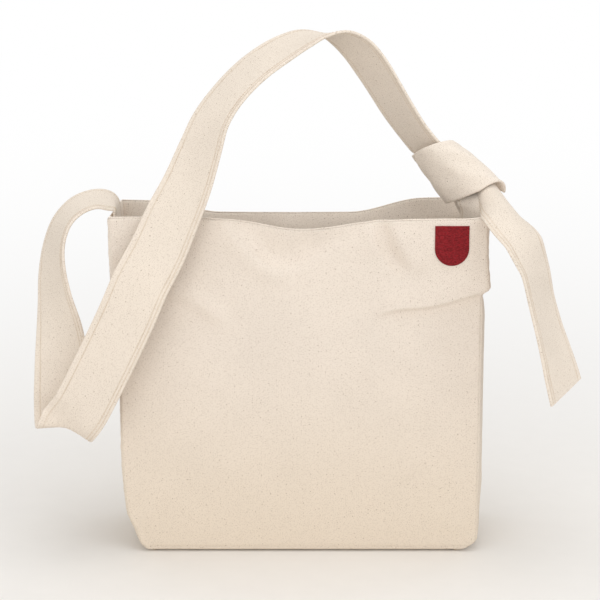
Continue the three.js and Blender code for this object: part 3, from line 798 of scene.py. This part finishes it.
KEEPER_STATIONS = [
    keeper_leg(1, 50),
    keeper_leg(1, 28),
    (off_right(-11.5, 0.18, -21), (0.35, -0.94, 0)),
    (off_right(-15, 0.3, -11), (0.58, -0.81, 0)),
    (off_right(-15.3, 0.33, -3), (0.6, -0.8, 0)),
    (off_right(-16, 0.33, 5), (0.66, -0.75, 0)),
    (off_right(-16, 0.27, 12), (0.74, -0.67, 0)),
    (off_right(-15, 0.12, 19), (0.82, -0.57, 0)),
    (off_right(-14, -0.05, 25), (0.86, -0.5, 0)),
    (off_right(-17.5, -0.19, 17), (0.84, -0.53, 0)),
    (off_right(-18, -0.21, 9), (0.8, -0.6, 0)),
    (off_right(-16, -0.2, 1), (0.64, -0.77, 0)),
    (off_right(-11.5, -0.12, -8), (0.4, -0.92, 0)),
    (off_right(-5.8, -0.04, -17), (0.1, -0.99, 0)),
    keeper_leg(0, 18),
    keeper_leg(0, 34),
    keeper_leg(0, 50),
]

# Knot: sections of the wrapped strap from its upper mouth to its lower one. Each has its left and right
# folds, and how far its front and its back stand from the middle.
KNOT_SECTIONS = [
    (off_right(-74.5, 0.02, 53.5), off_right(-33, 0, 68), (-2, -27, 7), (-9, 31, -9)),
    (off_right(-64.7, 0.02, 38), off_right(-16.3, 0, 55.2), (0, -27, 8), (-5, 28, -6)),
    (off_right(-54, 0.02, 21.5), off_right(1.5, 0, 37.4), (1, -27, 9), (-1, 25, -2)),
    (off_right(-42, 0.02, 5.5), off_right(20, 0, 17), (1, -26, 11), (2, 21, 2)),
]
# The lower mouth's front stands higher towards the right: by the first share from fold to fold, and by the
# second more from the middle on
KNOT_LIFT, KNOT_RIGHT_LIFT = 0.55, 0.9
FRONT_TIGHT, BACK_TIGHT = 0.1, 0.22  # how much tighter the left fold is than the right one


def knot_section(v):
    """Middle, reach to the right, front and back of the knot's section at a share of its length."""
    at = np.array([[*left, *right, *front, *back] for left, right, front, back in KNOT_SECTIONS], float)
    values = catmull_rom(at, np.ravel(v) * (len(at) - 1)).reshape(*np.shape(v), 12)
    left, right, front, back = (values[..., 3 * k : 3 * k + 3] for k in range(4))
    return (left + right) / 2, (right - left) / 2, front, back


def larger(vector, grow):
    return vector * (1 + grow / np.linalg.norm(vector, axis=-1))[..., None]


def knot_point(angle, v, grow):
    """A point of the wrapped strap at an angle and a share of its length, moved out by grow."""
    angle, v, grow = np.broadcast_arrays(angle, v, grow)
    middle, right, front, back = knot_section(v)
    c, s = np.cos(angle), np.sin(angle)
    s = np.sign(s) * np.abs(s) ** (1 + np.where(s > 0, FRONT_TIGHT, BACK_TIGHT) * (1 - c))
    lift = 1 + v * (KNOT_LIFT * c + KNOT_RIGHT_LIFT * np.maximum(c, 0))
    depth = np.where((s > 0)[..., None], front * lift[..., None] ** np.array([0, 0, 1]), -back)
    return middle + larger(right, grow) * c[..., None] + larger(depth, grow) * s[..., None]


KNOT_AROUND, KNOT_ROWS = 120, 46
KNOT_SWELL, KNOT_SWELL_LENGTH, KNOT_SWELL_SEED = 0.9, 34, 61
KNOT_RADIUS, KNOT_LENGTH = 40, 60  # about, to spread the swell over it
# The knot's hollow: depth, place and reach along the knot, slant, and place and reach round it as a cosine
HOLLOW_DEPTH, HOLLOW_PLACE, HOLLOW_REACH, HOLLOW_SLANT = 1.6, 0.7, 0.16, 0.2
HOLLOW_SIDE, HOLLOW_SIDE_REACH = -0.5, 0.4
KNOT_GIRTH = 170
LIP_REACH = 0.12  # the share of the knot's length over which its dents fade towards each mouth
HEM_DENT, HEM_AT, HEM_WIDTH = 0.14, 0.11, 0.012


def knot_dents(angle, v):
    """How far the strap round the knot stands out: a soft swell, a hollow, and a groove along each mouth."""
    across = KNOT_RADIUS * np.cos(angle) + 0 * v
    along = KNOT_RADIUS * np.sin(angle) + KNOT_LENGTH * v
    swell = soft_noise(KNOT_SWELL_SEED, across, along, KNOT_SWELL_LENGTH)
    hollow = HOLLOW_DEPTH * bump(v, HOLLOW_PLACE + HOLLOW_SLANT * np.cos(angle), HOLLOW_REACH)
    hollow = hollow * bump(np.cos(angle), HOLLOW_SIDE, HOLLOW_SIDE_REACH)
    dents = (KNOT_SWELL * swell - hollow) * smoothstep(v, 0, LIP_REACH) * smoothstep(1 - v, 0, LIP_REACH)
    return dents - HEM_DENT * (bump(v, HEM_AT, HEM_WIDTH) + bump(v, 1 - HEM_AT, HEM_WIDTH))


def knot_lip(start, end, way):
    """The round between the two faces of the strap at a mouth of the knot."""
    middle, half, way = (start + end) / 2, (start - end) / 2, unit(way)
    return [middle + half * math.cos(t) + way * STRAP_THICK / 2 * math.sin(t) for t in np.radians(LIP_ANGLES)]


def knot_wrap(materials):
    """The strap wound round the knot: a closed wall with rounded lips and soft dents."""
    angle = np.linspace(0, 2 * np.pi, KNOT_AROUND, endpoint=False)[:, None]
    v = np.linspace(0, 1, KNOT_ROWS)[None, :]
    dents = knot_dents(angle, v)
    outer = knot_point(angle, v, dents)
    inner = knot_point(angle, v, dents - STRAP_THICK)
    upper = knot_lip(inner[:, 0], outer[:, 0], outer[:, 0] - outer[:, 1])
    lower = knot_lip(outer[:, -1], inner[:, -1], outer[:, -1] - outer[:, -2])
    stack = np.concatenate([outer, np.stack(lower, 1), inner[:, ::-1], np.stack(upper, 1)], 1)
    total = stack.shape[1]
    faces = grid_faces(KNOT_AROUND, total, True, True, flip=True)
    u = np.linspace(0, KNOT_GIRTH, KNOT_AROUND + 1)
    lengths = np.concatenate([[0], np.cumsum(np.linalg.norm(np.diff(stack[0], axis=0), axis=1))])
    uvs = []
    for face in faces:
        i, j = divmod(face[0], total)
        v0, v1 = lengths[j], lengths[min(j + 1, total - 1)]
        uvs += [(u[i], v0), (u[i], v1), (u[i + 1], v1), (u[i + 1], v0)]
    return mesh_object("knot_band", stack.reshape(-1, 3), faces, materials, None, np.array(uvs) * MM)


FILLING_AROUND, FILLING_ROWS = 64, 22
FILLING_START, FILLING_LENGTH = 0.04, 0.68  # shares of the knot's length
FILLING_GAP, FILLING_CREASE = 1.3, 1.2
CREASES, CREASE_TWIST = 3, 5
CROWN_POWER, CROWN_LEAST = 6, 0.02  # how square the plug is along its length, and its least radius as a share
FILLING_UV_STEPS = np.array([2.2, 2.4]) * MM


def knot_filling(materials):
    """The turns of cloth inside the sleeve: a rounded plug with creases across it."""
    angle = np.linspace(0, 2 * np.pi, FILLING_AROUND, endpoint=False)[:, None]
    t = np.linspace(0, 1, FILLING_ROWS)[None, :]
    v = FILLING_START + FILLING_LENGTH * t + 0 * angle
    crown = np.sqrt(np.clip(1 - np.abs(2 * t - 1) ** CROWN_POWER, 0, 1))
    crease = FILLING_CREASE * np.sin(CREASES * angle + CREASE_TWIST * t) * crown
    skin = knot_point(angle, v, -STRAP_THICK - FILLING_GAP + crease)
    axis = knot_section(v)[0]
    points = axis + (skin - axis) * np.maximum(crown, CROWN_LEAST)[..., None]
    faces = [face[::-1] for face in grid_faces(FILLING_AROUND, FILLING_ROWS, closed_columns=True)]
    start = tuple(i * FILLING_ROWS for i in range(FILLING_AROUND))
    faces += [start, tuple(q + FILLING_ROWS - 1 for q in start[::-1])]
    uvs = [divmod(q, FILLING_ROWS) * FILLING_UV_STEPS for face in faces for q in face]
    return mesh_object("knot_filling", points.reshape(-1, 3), faces, materials, None, uvs)


# Label


def folded_front(x, z):
    left, right = corner_x(-1, z), corner_x(1, z)
    base = wall_point("front", (x - left) / (right - left), z)
    base[..., 1] -= relief("front", x, z)
    return base


SLOPE_REACH = 0.5  # how far to each side of a point its normal is measured


def front_surface(x, z):
    """Outer points and outward normals of the front with its folds."""
    du = folded_front(x + SLOPE_REACH, z) - folded_front(x - SLOPE_REACH, z)
    dv = folded_front(x, z + SLOPE_REACH) - folded_front(x, z - SLOPE_REACH)
    return folded_front(x, z), unit(np.cross(du, dv))


LABEL_WIDTH, LABEL_HEIGHT, LABEL_THICK = 34, 40, 1.0
LABEL_FROM_SIDE, LABEL_FROM_RIM = 19.1, 9
LABEL_X = RIM_HALF_WIDTH - LABEL_FROM_SIDE - LABEL_WIDTH / 2
LABEL_TOP = BAG_HEIGHT - LABEL_FROM_RIM
LABEL_TOP_STEPS, LABEL_SIDE_STEPS, LABEL_FOOT_STEPS = 20, 14, 34
LABEL_MIDDLE = 0.46  # the share of its height, down from its top, that its rings close in on
# Rings of the patch, from the middle of its back round its edge to the middle of its face: share of the
# outline and height over the cloth
LABEL_BACK_GAP, LABEL_EDGE_GAP = 0.2, 0.25
LABEL_BACK = [(share, LABEL_BACK_GAP) for share in (0.2, 0.42, 0.62, 0.8, 0.95, 1)]
LABEL_EDGE = [(share, LABEL_EDGE_GAP + LABEL_THICK * rise)
              for share, rise in ((1, 0.05), (1, 0.55), (0.985, 0.88))]
LABEL_FACE = [(share, LABEL_EDGE_GAP + LABEL_THICK) for share in (0.955, 0.92, 0.8, 0.62, 0.42, 0.2)]


def label_outline():
    """The patch's outline from the middle of its top: straight sides and a round foot."""
    radius = LABEL_WIDTH / 2
    straight = LABEL_HEIGHT - radius
    outline = [(t, 0.0) for t in np.linspace(-radius, radius, LABEL_TOP_STEPS)]
    outline += [(radius, -t) for t in np.linspace(0, straight, LABEL_SIDE_STEPS)[1:]]
    turns = np.linspace(0, np.pi, LABEL_FOOT_STEPS)[1:]
    outline += [(radius * math.cos(t), -straight - radius * math.sin(t)) for t in turns]
    outline += [(-radius, -t) for t in np.linspace(straight, 0, LABEL_SIDE_STEPS)[1:-1]]
    return np.array(outline)


def label_patch(materials):
    """A woven patch bent to the front's folds, with a rounded edge."""
    outline = label_outline()
    middle = np.array([0, -LABEL_HEIGHT * LABEL_MIDDLE])
    rings = []
    for share, height in LABEL_BACK + LABEL_EDGE + LABEL_FACE:
        flat = middle + (outline - middle) * share
        point, normal = front_surface(LABEL_X + flat[:, 0], LABEL_TOP + flat[:, 1])
        rings.append(point + normal * height)
    points = np.concatenate(rings)
    faces = tube_faces(len(rings), len(outline))
    return mesh_object("label", points, faces, materials, None, flat_uvs(points, faces, [0, 2]))


# Seam bindings inside the corners and round the base


TAPE_WIDTH, TAPE_THICK = 10, 2.4
# A tape's section: distance from its line as a share of its width, and height as a share of its thickness
TAPE_SECTION = [(0, -0.5), (0.35, -0.5), (0.8, -0.5), (0.97, -0.32), (1, 0),
                (0.97, 0.32), (0.8, 0.5), (0.35, 0.5), (0, 0.5)]
LAYER, TAPE_ROOM = 1.8, 0.25  # a wall's cloth with the gap beside it in the CAD, and the room for the tape
TAPE_START = TAPE_THICK / 2 + LAYER * math.sqrt(2) + TAPE_ROOM  # from the seam to the tape's line
TAPE_SEED = 200
TAPE_WAVE, TAPE_WAVE_LENGTH, TAPE_WAVE_SHARE, TAPE_STEP = 1.2, 50, 0.4, 4.0
CORNER_TAPE_FEET = (22, 283)
BASE_TAPE_MARGIN = 22
LONG_STEPS, SHORT_STEPS = 66, 20


def binding_strip(line, inward, seed):
    """A closed tape along a line of points, standing off it."""
    along = unit(np.gradient(line, axis=0))
    inward = unit(inward - along * (along * inward).sum(-1, keepdims=True))
    normal = np.cross(along, inward)
    place = np.arange(len(line)) * TAPE_STEP
    wave = TAPE_WAVE * soft_noise(seed, place, 0 * place, TAPE_WAVE_LENGTH)
    rings = [line + inward * (TAPE_START + TAPE_WIDTH * a)
             + normal * (TAPE_THICK * b + wave * a * TAPE_WAVE_SHARE)[:, None] for a, b in TAPE_SECTION]
    return np.stack(rings, 1).reshape(-1, 3), tube_faces(len(line), len(TAPE_SECTION))


def seam_lines():
    """Each bound seam as a line of points, and the way from it into the bag."""
    z = np.linspace(*CORNER_TAPE_FEET, LONG_STEPS)
    for side in (-1, 1):
        for end in (-1, 1):
            yield np.stack([corner_x(side, z), 0 * z + end * HALF_DEPTH, z], -1), (-side, -end, 0)
        y = np.linspace(-HALF_DEPTH + BASE_TAPE_MARGIN, HALF_DEPTH - BASE_TAPE_MARGIN, SHORT_STEPS)
        yield np.stack([corner_x(side, 0.0) + end_bulge(side, y), y, 0 * y], -1), (-side, 0, 1)
    for end in (-1, 1):
        x = np.linspace(corner_x(-1, 0.0) + BASE_TAPE_MARGIN, corner_x(1, 0.0) - BASE_TAPE_MARGIN, LONG_STEPS)
        yield np.stack([x, 0 * x + end * HALF_DEPTH, 0 * x], -1), (0, -end, 1)


def seam_bindings(materials):
    """The tapes over the seam allowances, in the corners and round the base."""
    points, faces = np.zeros((0, 3)), []
    for k, (line, inward) in enumerate(seam_lines()):
        more, quads = binding_strip(line, inward, TAPE_SEED + k)
        faces += shifted(quads, len(points))
        points = np.vstack([points, more])
    return mesh_object("seam_tapes", points, faces, materials, None, flat_uvs(points, faces, [0, 2]))


# Materials

SMOOTH_WEAVE = 0.0001  # metres, the relief of the strap's finer cloth


class Nodes:
    """Adds shader nodes to a material or a world, and joins them."""

    def __init__(self, owner, shader="Principled BSDF"):
        owner.use_nodes = True
        self.owner = owner
        self.tree = owner.node_tree
        self.shader = self.tree.nodes[shader]

    def add(self, kind, inputs=None, **settings):
        node = self.tree.nodes.new(kind)
        for key, value in settings.items():
            setattr(node, key, value)
        self.put(node, inputs or {})
        return node

    def put(self, node, inputs):
        for key, value in inputs.items():
            if isinstance(value, bpy.types.NodeSocket):
                self.tree.links.new(value, node.inputs[key])
            else:
                node.inputs[key].default_value = value

    def maths(self, operation, a, b=0.0):
        return self.add("ShaderNodeMath", {0: a, 1: b}, operation=operation).outputs[0]

    def mix(self, share, a, b):
        return self.add("ShaderNodeMix", {0: share, 6: a, 7: b}, data_type="RGBA").outputs[2]

    def noise(self, place, scale, detail):
        return self.add("ShaderNodeTexNoise", {"Vector": place, "Scale": scale, "Detail": detail}).outputs[0]

    def ramp(self, value, low, high, out_low=0.0, out_high=1.0):
        inputs = {"Value": value, "From Min": low, "From Max": high, "To Min": out_low, "To Max": out_high}
        return self.add("ShaderNodeMapRange", inputs, interpolation_type="SMOOTHSTEP").outputs[0]

    def bumped(self, height, strength, depth, inputs):
        """Give the shader a bump and its other inputs."""
        raised = self.add("ShaderNodeBump", {"Height": height, "Strength": strength, "Distance": depth})
        self.put(self.shader, {"Normal": raised.outputs[0], **inputs})
        return self.owner

    def background_rays(self):
        """One for the rays that are to see a plain background, and otherwise nought."""
        path = self.add("ShaderNodeLightPath").outputs
        mirrored = self.maths("MAXIMUM", path["Is Glossy Ray"], path["Is Transmission Ray"])
        return self.maths("MAXIMUM", path["Is Camera Ray"], mirrored)

    def turn_into(self, output, share, other):
        """Let another shader take over by a share."""
        mixed = self.add("ShaderNodeMixShader", {0: share, 1: self.shader.outputs[0], 2: other.outputs[0]})
        self.put(self.tree.nodes[output], {"Surface": mixed.outputs[0]})


def new_material(name):
    return Nodes(bpy.data.materials.new(name))


def tint(colour, share=1.0):
    """A colour times a share, with its alpha."""
    return (*(min(1.0, part * share) for part in colour), 1.0)


WHITE = tint((1, 1, 1))

# Seed flecks: cell size in metres, radius as a share of it, share of cells without one, and strength
FLECKS = [(0.0086, 0.065, 0.5, 0.95), (0.0042, 0.1, 0.3, 0.7),
          (0.0023, 0.16, 0.2, 0.55), (0.0013, 0.28, 0.2, 0.5)]
FOOT_PAINTED_SHADE_HEIGHT, FOOT_PAINTED_SHADE = 0.24, 0.75  # metres, and the share of the foot's colour at the base: painted shade, darker and warmer towards the base
THREAD_PITCH = 0.00072  # metres from one thread of the weave to the next
WOBBLE = 0.9  # how far a thread wanders, in pitches
GAP_PAINTED_SHADE, TONE_LOW, TONE_HIGH = 0.8, 0.985, 1.03  # painted shade between the threads, and the cloth's colour across its tones
# Painted shade along the rows of stitches: where it starts and ends, in metres, and its share
ROW_PAINTED_SHADE_REACH, ROW_PAINTED_SHADE_SHARE = (0.0003, 0.0011), 0.2
# Noises: scale and detail. Ramps: where a value starts and ends, and what it gives there
WANDER_NOISE, SLUB_NOISE, TONE_NOISE = (260.0, 2.0), (900.0, 3.0), (16.0, 3.0)
TONE_RAMP, GAP_PAINTED_SHADE_RAMP = (0.3, 0.7), (0.35, 0.75, 0.55, 0.0)
WEAVE_RELIEF, SLUB_RELIEF = 0.6, 0.6
FLECK_CORE = 0.4  # the share of a fleck's radius that is dark throughout
CLOTH_SHADER = {"Roughness": 0.92, "Sheen Weight": 0.08, "Sheen Roughness": 0.6, "Specular IOR Level": 0.2}


def weave_height(n, uv, u, v):
    """The relief of a plain weave with slubs: threads along u and v take turns on top."""
    wander = n.maths("MULTIPLY", n.maths("SUBTRACT", n.noise(uv, *WANDER_NOISE), 0.5), WOBBLE * THREAD_PITCH)
    u, v = (n.maths("DIVIDE", n.maths("ADD", part, wander), THREAD_PITCH) for part in (u, v))
    warp, weft = (n.maths("ABSOLUTE", n.maths("SINE", n.maths("MULTIPLY", part, math.pi))) for part in (u, v))
    cell = n.maths("ADD", n.maths("FLOOR", u), n.maths("FLOOR", v))
    odd = n.maths("ABSOLUTE", n.maths("MODULO", cell, 2.0))
    weave = n.add("ShaderNodeMix", {0: odd, 2: warp, 3: weft}, data_type="FLOAT").outputs[0]
    slub = n.noise(uv, *SLUB_NOISE)
    return n.maths("ADD", n.maths("MULTIPLY", weave, WEAVE_RELIEF), n.maths("MULTIPLY", slub, SLUB_RELIEF))


def with_flecks(n, uv, base):
    for cell, size, without, strength in FLECKS:
        spot = n.add("ShaderNodeTexVoronoi", {"Vector": uv, "Scale": 1 / cell}, voronoi_dimensions="2D")
        pick = n.add("ShaderNodeSeparateColor", {0: spot.outputs["Color"]})
        near = n.ramp(spot.outputs["Distance"], FLECK_CORE * size, size, 1.0, 0.0)
        some = n.ramp(pick.outputs[0], without, 1.0, 0.0, strength)
        base = n.mix(n.maths("MULTIPLY", near, some), base, tint(FLECK_COLOUR))
    return base


def cloth_material(name, colour, flecks=True, depth=0.00016, rows=(), foot=None):
    """Plain-woven cloth: crossing threads, slubs, a soft change of tone, seed flecks, and painted shade along
    stitched rows. A foot colour is painted shade, darker and warmer towards the bottom of a wall."""
    n = new_material(name)
    uv = n.add("ShaderNodeUVMap", uv_map="cloth").outputs[0]
    u, v = n.add("ShaderNodeSeparateXYZ", {0: uv}).outputs[:2]
    height = weave_height(n, uv, u, v)
    tone = n.ramp(n.noise(uv, *TONE_NOISE), *TONE_RAMP)
    base = n.mix(tone, tint(colour, TONE_LOW), tint(colour, TONE_HIGH))
    # The foot colour is painted shade, mixed in towards the bottom of the wall
    if foot:
        base = n.mix(n.ramp(v, 0.0, FOOT_PAINTED_SHADE_HEIGHT, FOOT_PAINTED_SHADE, 0.0), base, tint(foot))
    # Painted shade where the threads lie low
    base = n.mix(n.ramp(height, *GAP_PAINTED_SHADE_RAMP), base, tint(colour, GAP_PAINTED_SHADE))
    if flecks:
        base = with_flecks(n, uv, base)
    # Painted shade along each row of stitches
    for row in rows:
        off = n.maths("ABSOLUTE", n.maths("SUBTRACT", v, row * MM))
        base = n.mix(n.ramp(off, *ROW_PAINTED_SHADE_REACH, ROW_PAINTED_SHADE_SHARE, 0.0), base, tint(ROW_PAINTED_SHADE))
    return n.bumped(height, 1.0, depth, {"Base Color": base, **CLOTH_SHADER})


LABEL_PITCH = 0.002  # metres from one thread of the label to the next
LABEL_SLUB_NOISE, LABEL_SLUB_RAMP = (700.0, 3.0), (0.4, 0.75, 0.0, 0.8)


def label_material():
    """A dense plain weave of a dark and a brighter red thread."""
    n = new_material("label_weave")
    uv = n.add("ShaderNodeUVMap", uv_map="cloth").outputs[0]
    weave = n.add("ShaderNodeTexBrick", {
        "Vector": uv, "Scale": 1 / LABEL_PITCH, "Mortar Size": 0.06, "Mortar Smooth": 1.0, "Brick Width": 0.9,
        "Row Height": 0.45, "Color1": tint(LABEL_COLOUR, 1.5), "Color2": tint(LABEL_COLOUR, 0.7),
        "Mortar": tint(LABEL_COLOUR, 0.45)})
    slub = n.noise(uv, *LABEL_SLUB_NOISE)
    colour = n.mix(n.ramp(slub, *LABEL_SLUB_RAMP), weave.outputs["Color"], tint(LABEL_SLUB_COLOUR))
    height = n.maths("SUBTRACT", slub, weave.outputs["Fac"])
    inputs = {"Base Color": colour, "Roughness": 0.8, "Specular IOR Level": 0.15}
    return n.bumped(height, 1.0, 0.00015, inputs)


def thread_material():
    """Cotton thread with a fine twist."""
    n = new_material("thread")
    place = n.add("ShaderNodeTexCoord").outputs["Object"]
    inputs = {"Vector": place, "Scale": 900.0, "Distortion": 2.0}
    twist = n.add("ShaderNodeTexWave", inputs, bands_direction="DIAGONAL").outputs["Fac"]
    colour = n.mix(twist, tint(THREAD_COLOUR, 0.85), tint(THREAD_COLOUR))
    return n.bumped(twist, 0.6, 0.0001, {"Base Color": colour, "Roughness": 0.75})


FADE_START, FADE_LENGTH = 0.17, 0.75  # metres from the bag's middle
PAPER_NOISE = (35.0, 4.0)


def floor_material():
    """Pale paper that fades to plain white far from the bag."""
    n = new_material("floor_paper")
    place = n.add("ShaderNodeNewGeometry").outputs["Position"]
    x, y = n.add("ShaderNodeSeparateXYZ", {0: place}).outputs[:2]
    level = n.add("ShaderNodeCombineXYZ", {0: x, 1: y, 2: 0.0}).outputs[0]
    far = n.add("ShaderNodeVectorMath", {0: level}, operation="LENGTH").outputs["Value"]
    paper = n.mix(n.noise(place, *PAPER_NOISE), tint(PAPER_DARK), tint(PAPER_LIGHT))
    n.put(n.shader, {"Base Color": paper, "Roughness": 0.95, "Specular IOR Level": 0.1})
    past = n.maths("MAXIMUM", n.maths("SUBTRACT", far, FADE_START), 0.0)
    left = n.maths("EXPONENT", n.maths("DIVIDE", past, -FADE_LENGTH))
    share = n.maths("MULTIPLY", n.maths("SUBTRACT", 1.0, left), n.background_rays())
    n.turn_into("Material Output", share, n.add("ShaderNodeEmission", {"Color": WHITE, "Strength": 1.0}))
    return n.owner


# Camera, lights and floor

EYE, AIM = (0, -1.625, 0.599), (0, -0.060, 0.266)
SENSOR, LENS, CLIP_END = 36, 96, 50
# Round lamps: place, size, watts and colour
LAMPS = {
    "key": ((-0.7, -2.0, 0.45), 1.8, 13.5, (1, 0.985, 0.965)),
    "fill": ((1.5, -1.5, 1.3), 1.8, 10.5, (0.97, 0.985, 1)),
    "top": ((0, -0.2, 2.3), 1.6, 12, (1, 1, 1)),
}
LAMP_AIM = (0, 0, 0.2)
WORLD_COLOUR, WORLD_STRENGTH = (1, 0.99, 0.965), 0.72
FLOOR_REACH = 12000


def place_object(name, data, place, aim):
    """Put a camera or a lamp in the scene, turned to where it aims."""
    obj = bpy.data.objects.new(name, data)
    obj.location = place
    obj.rotation_euler = (Vector(aim) - Vector(place)).to_track_quat("-Z", "Y").to_euler()
    bpy.context.scene.collection.objects.link(obj)
    return obj


def add_camera():
    data = bpy.data.cameras.new("camera")
    data.sensor_width = SENSOR
    data.lens = LENS
    data.clip_end = CLIP_END
    bpy.context.scene.camera = place_object("camera", data, EYE, AIM)


def add_lamps():
    for name, (place, size, watts, colour) in LAMPS.items():
        lamp = bpy.data.lights.new(name, "AREA")
        lamp.shape = "DISK"
        lamp.size = size
        lamp.energy = watts
        lamp.color = colour
        place_object(name, lamp, place, LAMP_AIM)


def add_world():
    """Soft light from all round, and plain white behind the bag."""
    world = bpy.data.worlds.new("studio")
    bpy.context.scene.world = world
    n = Nodes(world, "Background")
    n.put(n.shader, {"Color": tint(WORLD_COLOUR), "Strength": WORLD_STRENGTH})
    white = n.add("ShaderNodeBackground", {"Color": WHITE, "Strength": 1.0})
    n.turn_into("World Output", n.background_rays(), white)


def add_floor():
    corners = [(x * FLOOR_REACH, y * FLOOR_REACH, 0) for x, y in ((-1, -1), (1, -1), (1, 1), (-1, 1))]
    floor = mesh_object("floor", corners, [(0, 1, 2, 3)], [floor_material()])


bpy.context.scene.view_settings.view_transform = "Standard"
add_camera()
add_lamps()
add_world()
add_floor()

# The bag

# The canvas takes painted shade towards its foot
canvas = cloth_material("bag_canvas", CANVAS_COLOUR, foot=FOOT_PAINTED_SHADE_COLOUR)
# The facing and the tapes take the paler colour of painted light
facing = cloth_material("facing_canvas_painted_light", FACING_PAINTED_LIGHT_COLOUR)
strap_cloth = cloth_material("strap_canvas", STRAP_COLOUR, depth=SMOOTH_WEAVE, rows=STRAP_ROWS)
# The knot and the keeper loop take a paler colour: painted light
knot_cloth_painted_light = cloth_material("knot_canvas_painted_light", KNOT_PAINTED_LIGHT_COLOUR, depth=SMOOTH_WEAVE)
keeper_cloth_painted_light = cloth_material("keeper_canvas_painted_light", KNOT_PAINTED_LIGHT_COLOUR, depth=SMOOTH_WEAVE, rows=KEEPER_ROWS)
tape = cloth_material("tape_canvas_painted_light", FACING_PAINTED_LIGHT_COLOUR, flecks=False)
label_cloth = label_material()
thread = thread_material()


def strap_run(name, start, end):
    return strap_piece(name, strap, start, end, STRAP_THICK, STRAP_ROWS, [strap_cloth, thread])


shell = bag_shell([canvas, facing])
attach(shell, "bag")
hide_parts("front_panel", "back_panel", "left_gusset", "right_gusset", "base_panel",
            "front_facing", "back_facing", "left_facing", "right_facing")

tapes = seam_bindings([tape])
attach(tapes, "bag")
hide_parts("front_left_binding", "front_right_binding", "back_left_binding", "back_right_binding",
            "front_base_binding", "back_base_binding", "left_base_binding", "right_base_binding")

label = label_patch([label_cloth])
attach(label, "bag")
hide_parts("label_patch")

strap = Route(STRAP_WIDTH, STRAP_STATIONS)
foot, crossing = strap.station_s[FOOT_STATION], strap.station_s[CROSSING_STATION]

hanging = strap_run("strap_hanging_run", 0, foot)
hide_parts("strap_sewn_end", "strap_left_fold")
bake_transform(hanging)

front_run = strap_run("strap_front_run", foot, crossing)
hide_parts("strap_hanging_loop")
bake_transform(front_run)

arch = strap_run("strap_over_mouth", crossing, strap.length)
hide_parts("strap_rim_fold", "strap_arch")
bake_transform(arch)

band = knot_wrap([knot_cloth_painted_light])
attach(band, "arch")
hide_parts("knot_wrap")

filling = knot_filling([knot_cloth_painted_light])
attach(filling, "arch")
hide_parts("knot_core")

tail_route = Route(STRAP_WIDTH, TAIL_STATIONS, smooth_mm=10)
tail = strap_piece("strap_end", tail_route, 0, tail_route.length - TAIL_CUT / 2, STRAP_THICK, STRAP_ROWS,
                   [strap_cloth, thread], slant=TAIL_CUT, seed=8)
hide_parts("tail_root", "strap_tail")
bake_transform(tail)

keeper_route = Route(KEEPER_WIDTH, KEEPER_STATIONS, smooth_mm=6)
keeper = strap_piece("keeper", keeper_route, 0, keeper_route.length, KEEPER_THICK, KEEPER_ROWS,
                     [keeper_cloth_painted_light, thread], step=1.6, seed=9)
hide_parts("keeper_loop", "keeper_outer_leg", "keeper_inner_leg")
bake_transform(keeper)
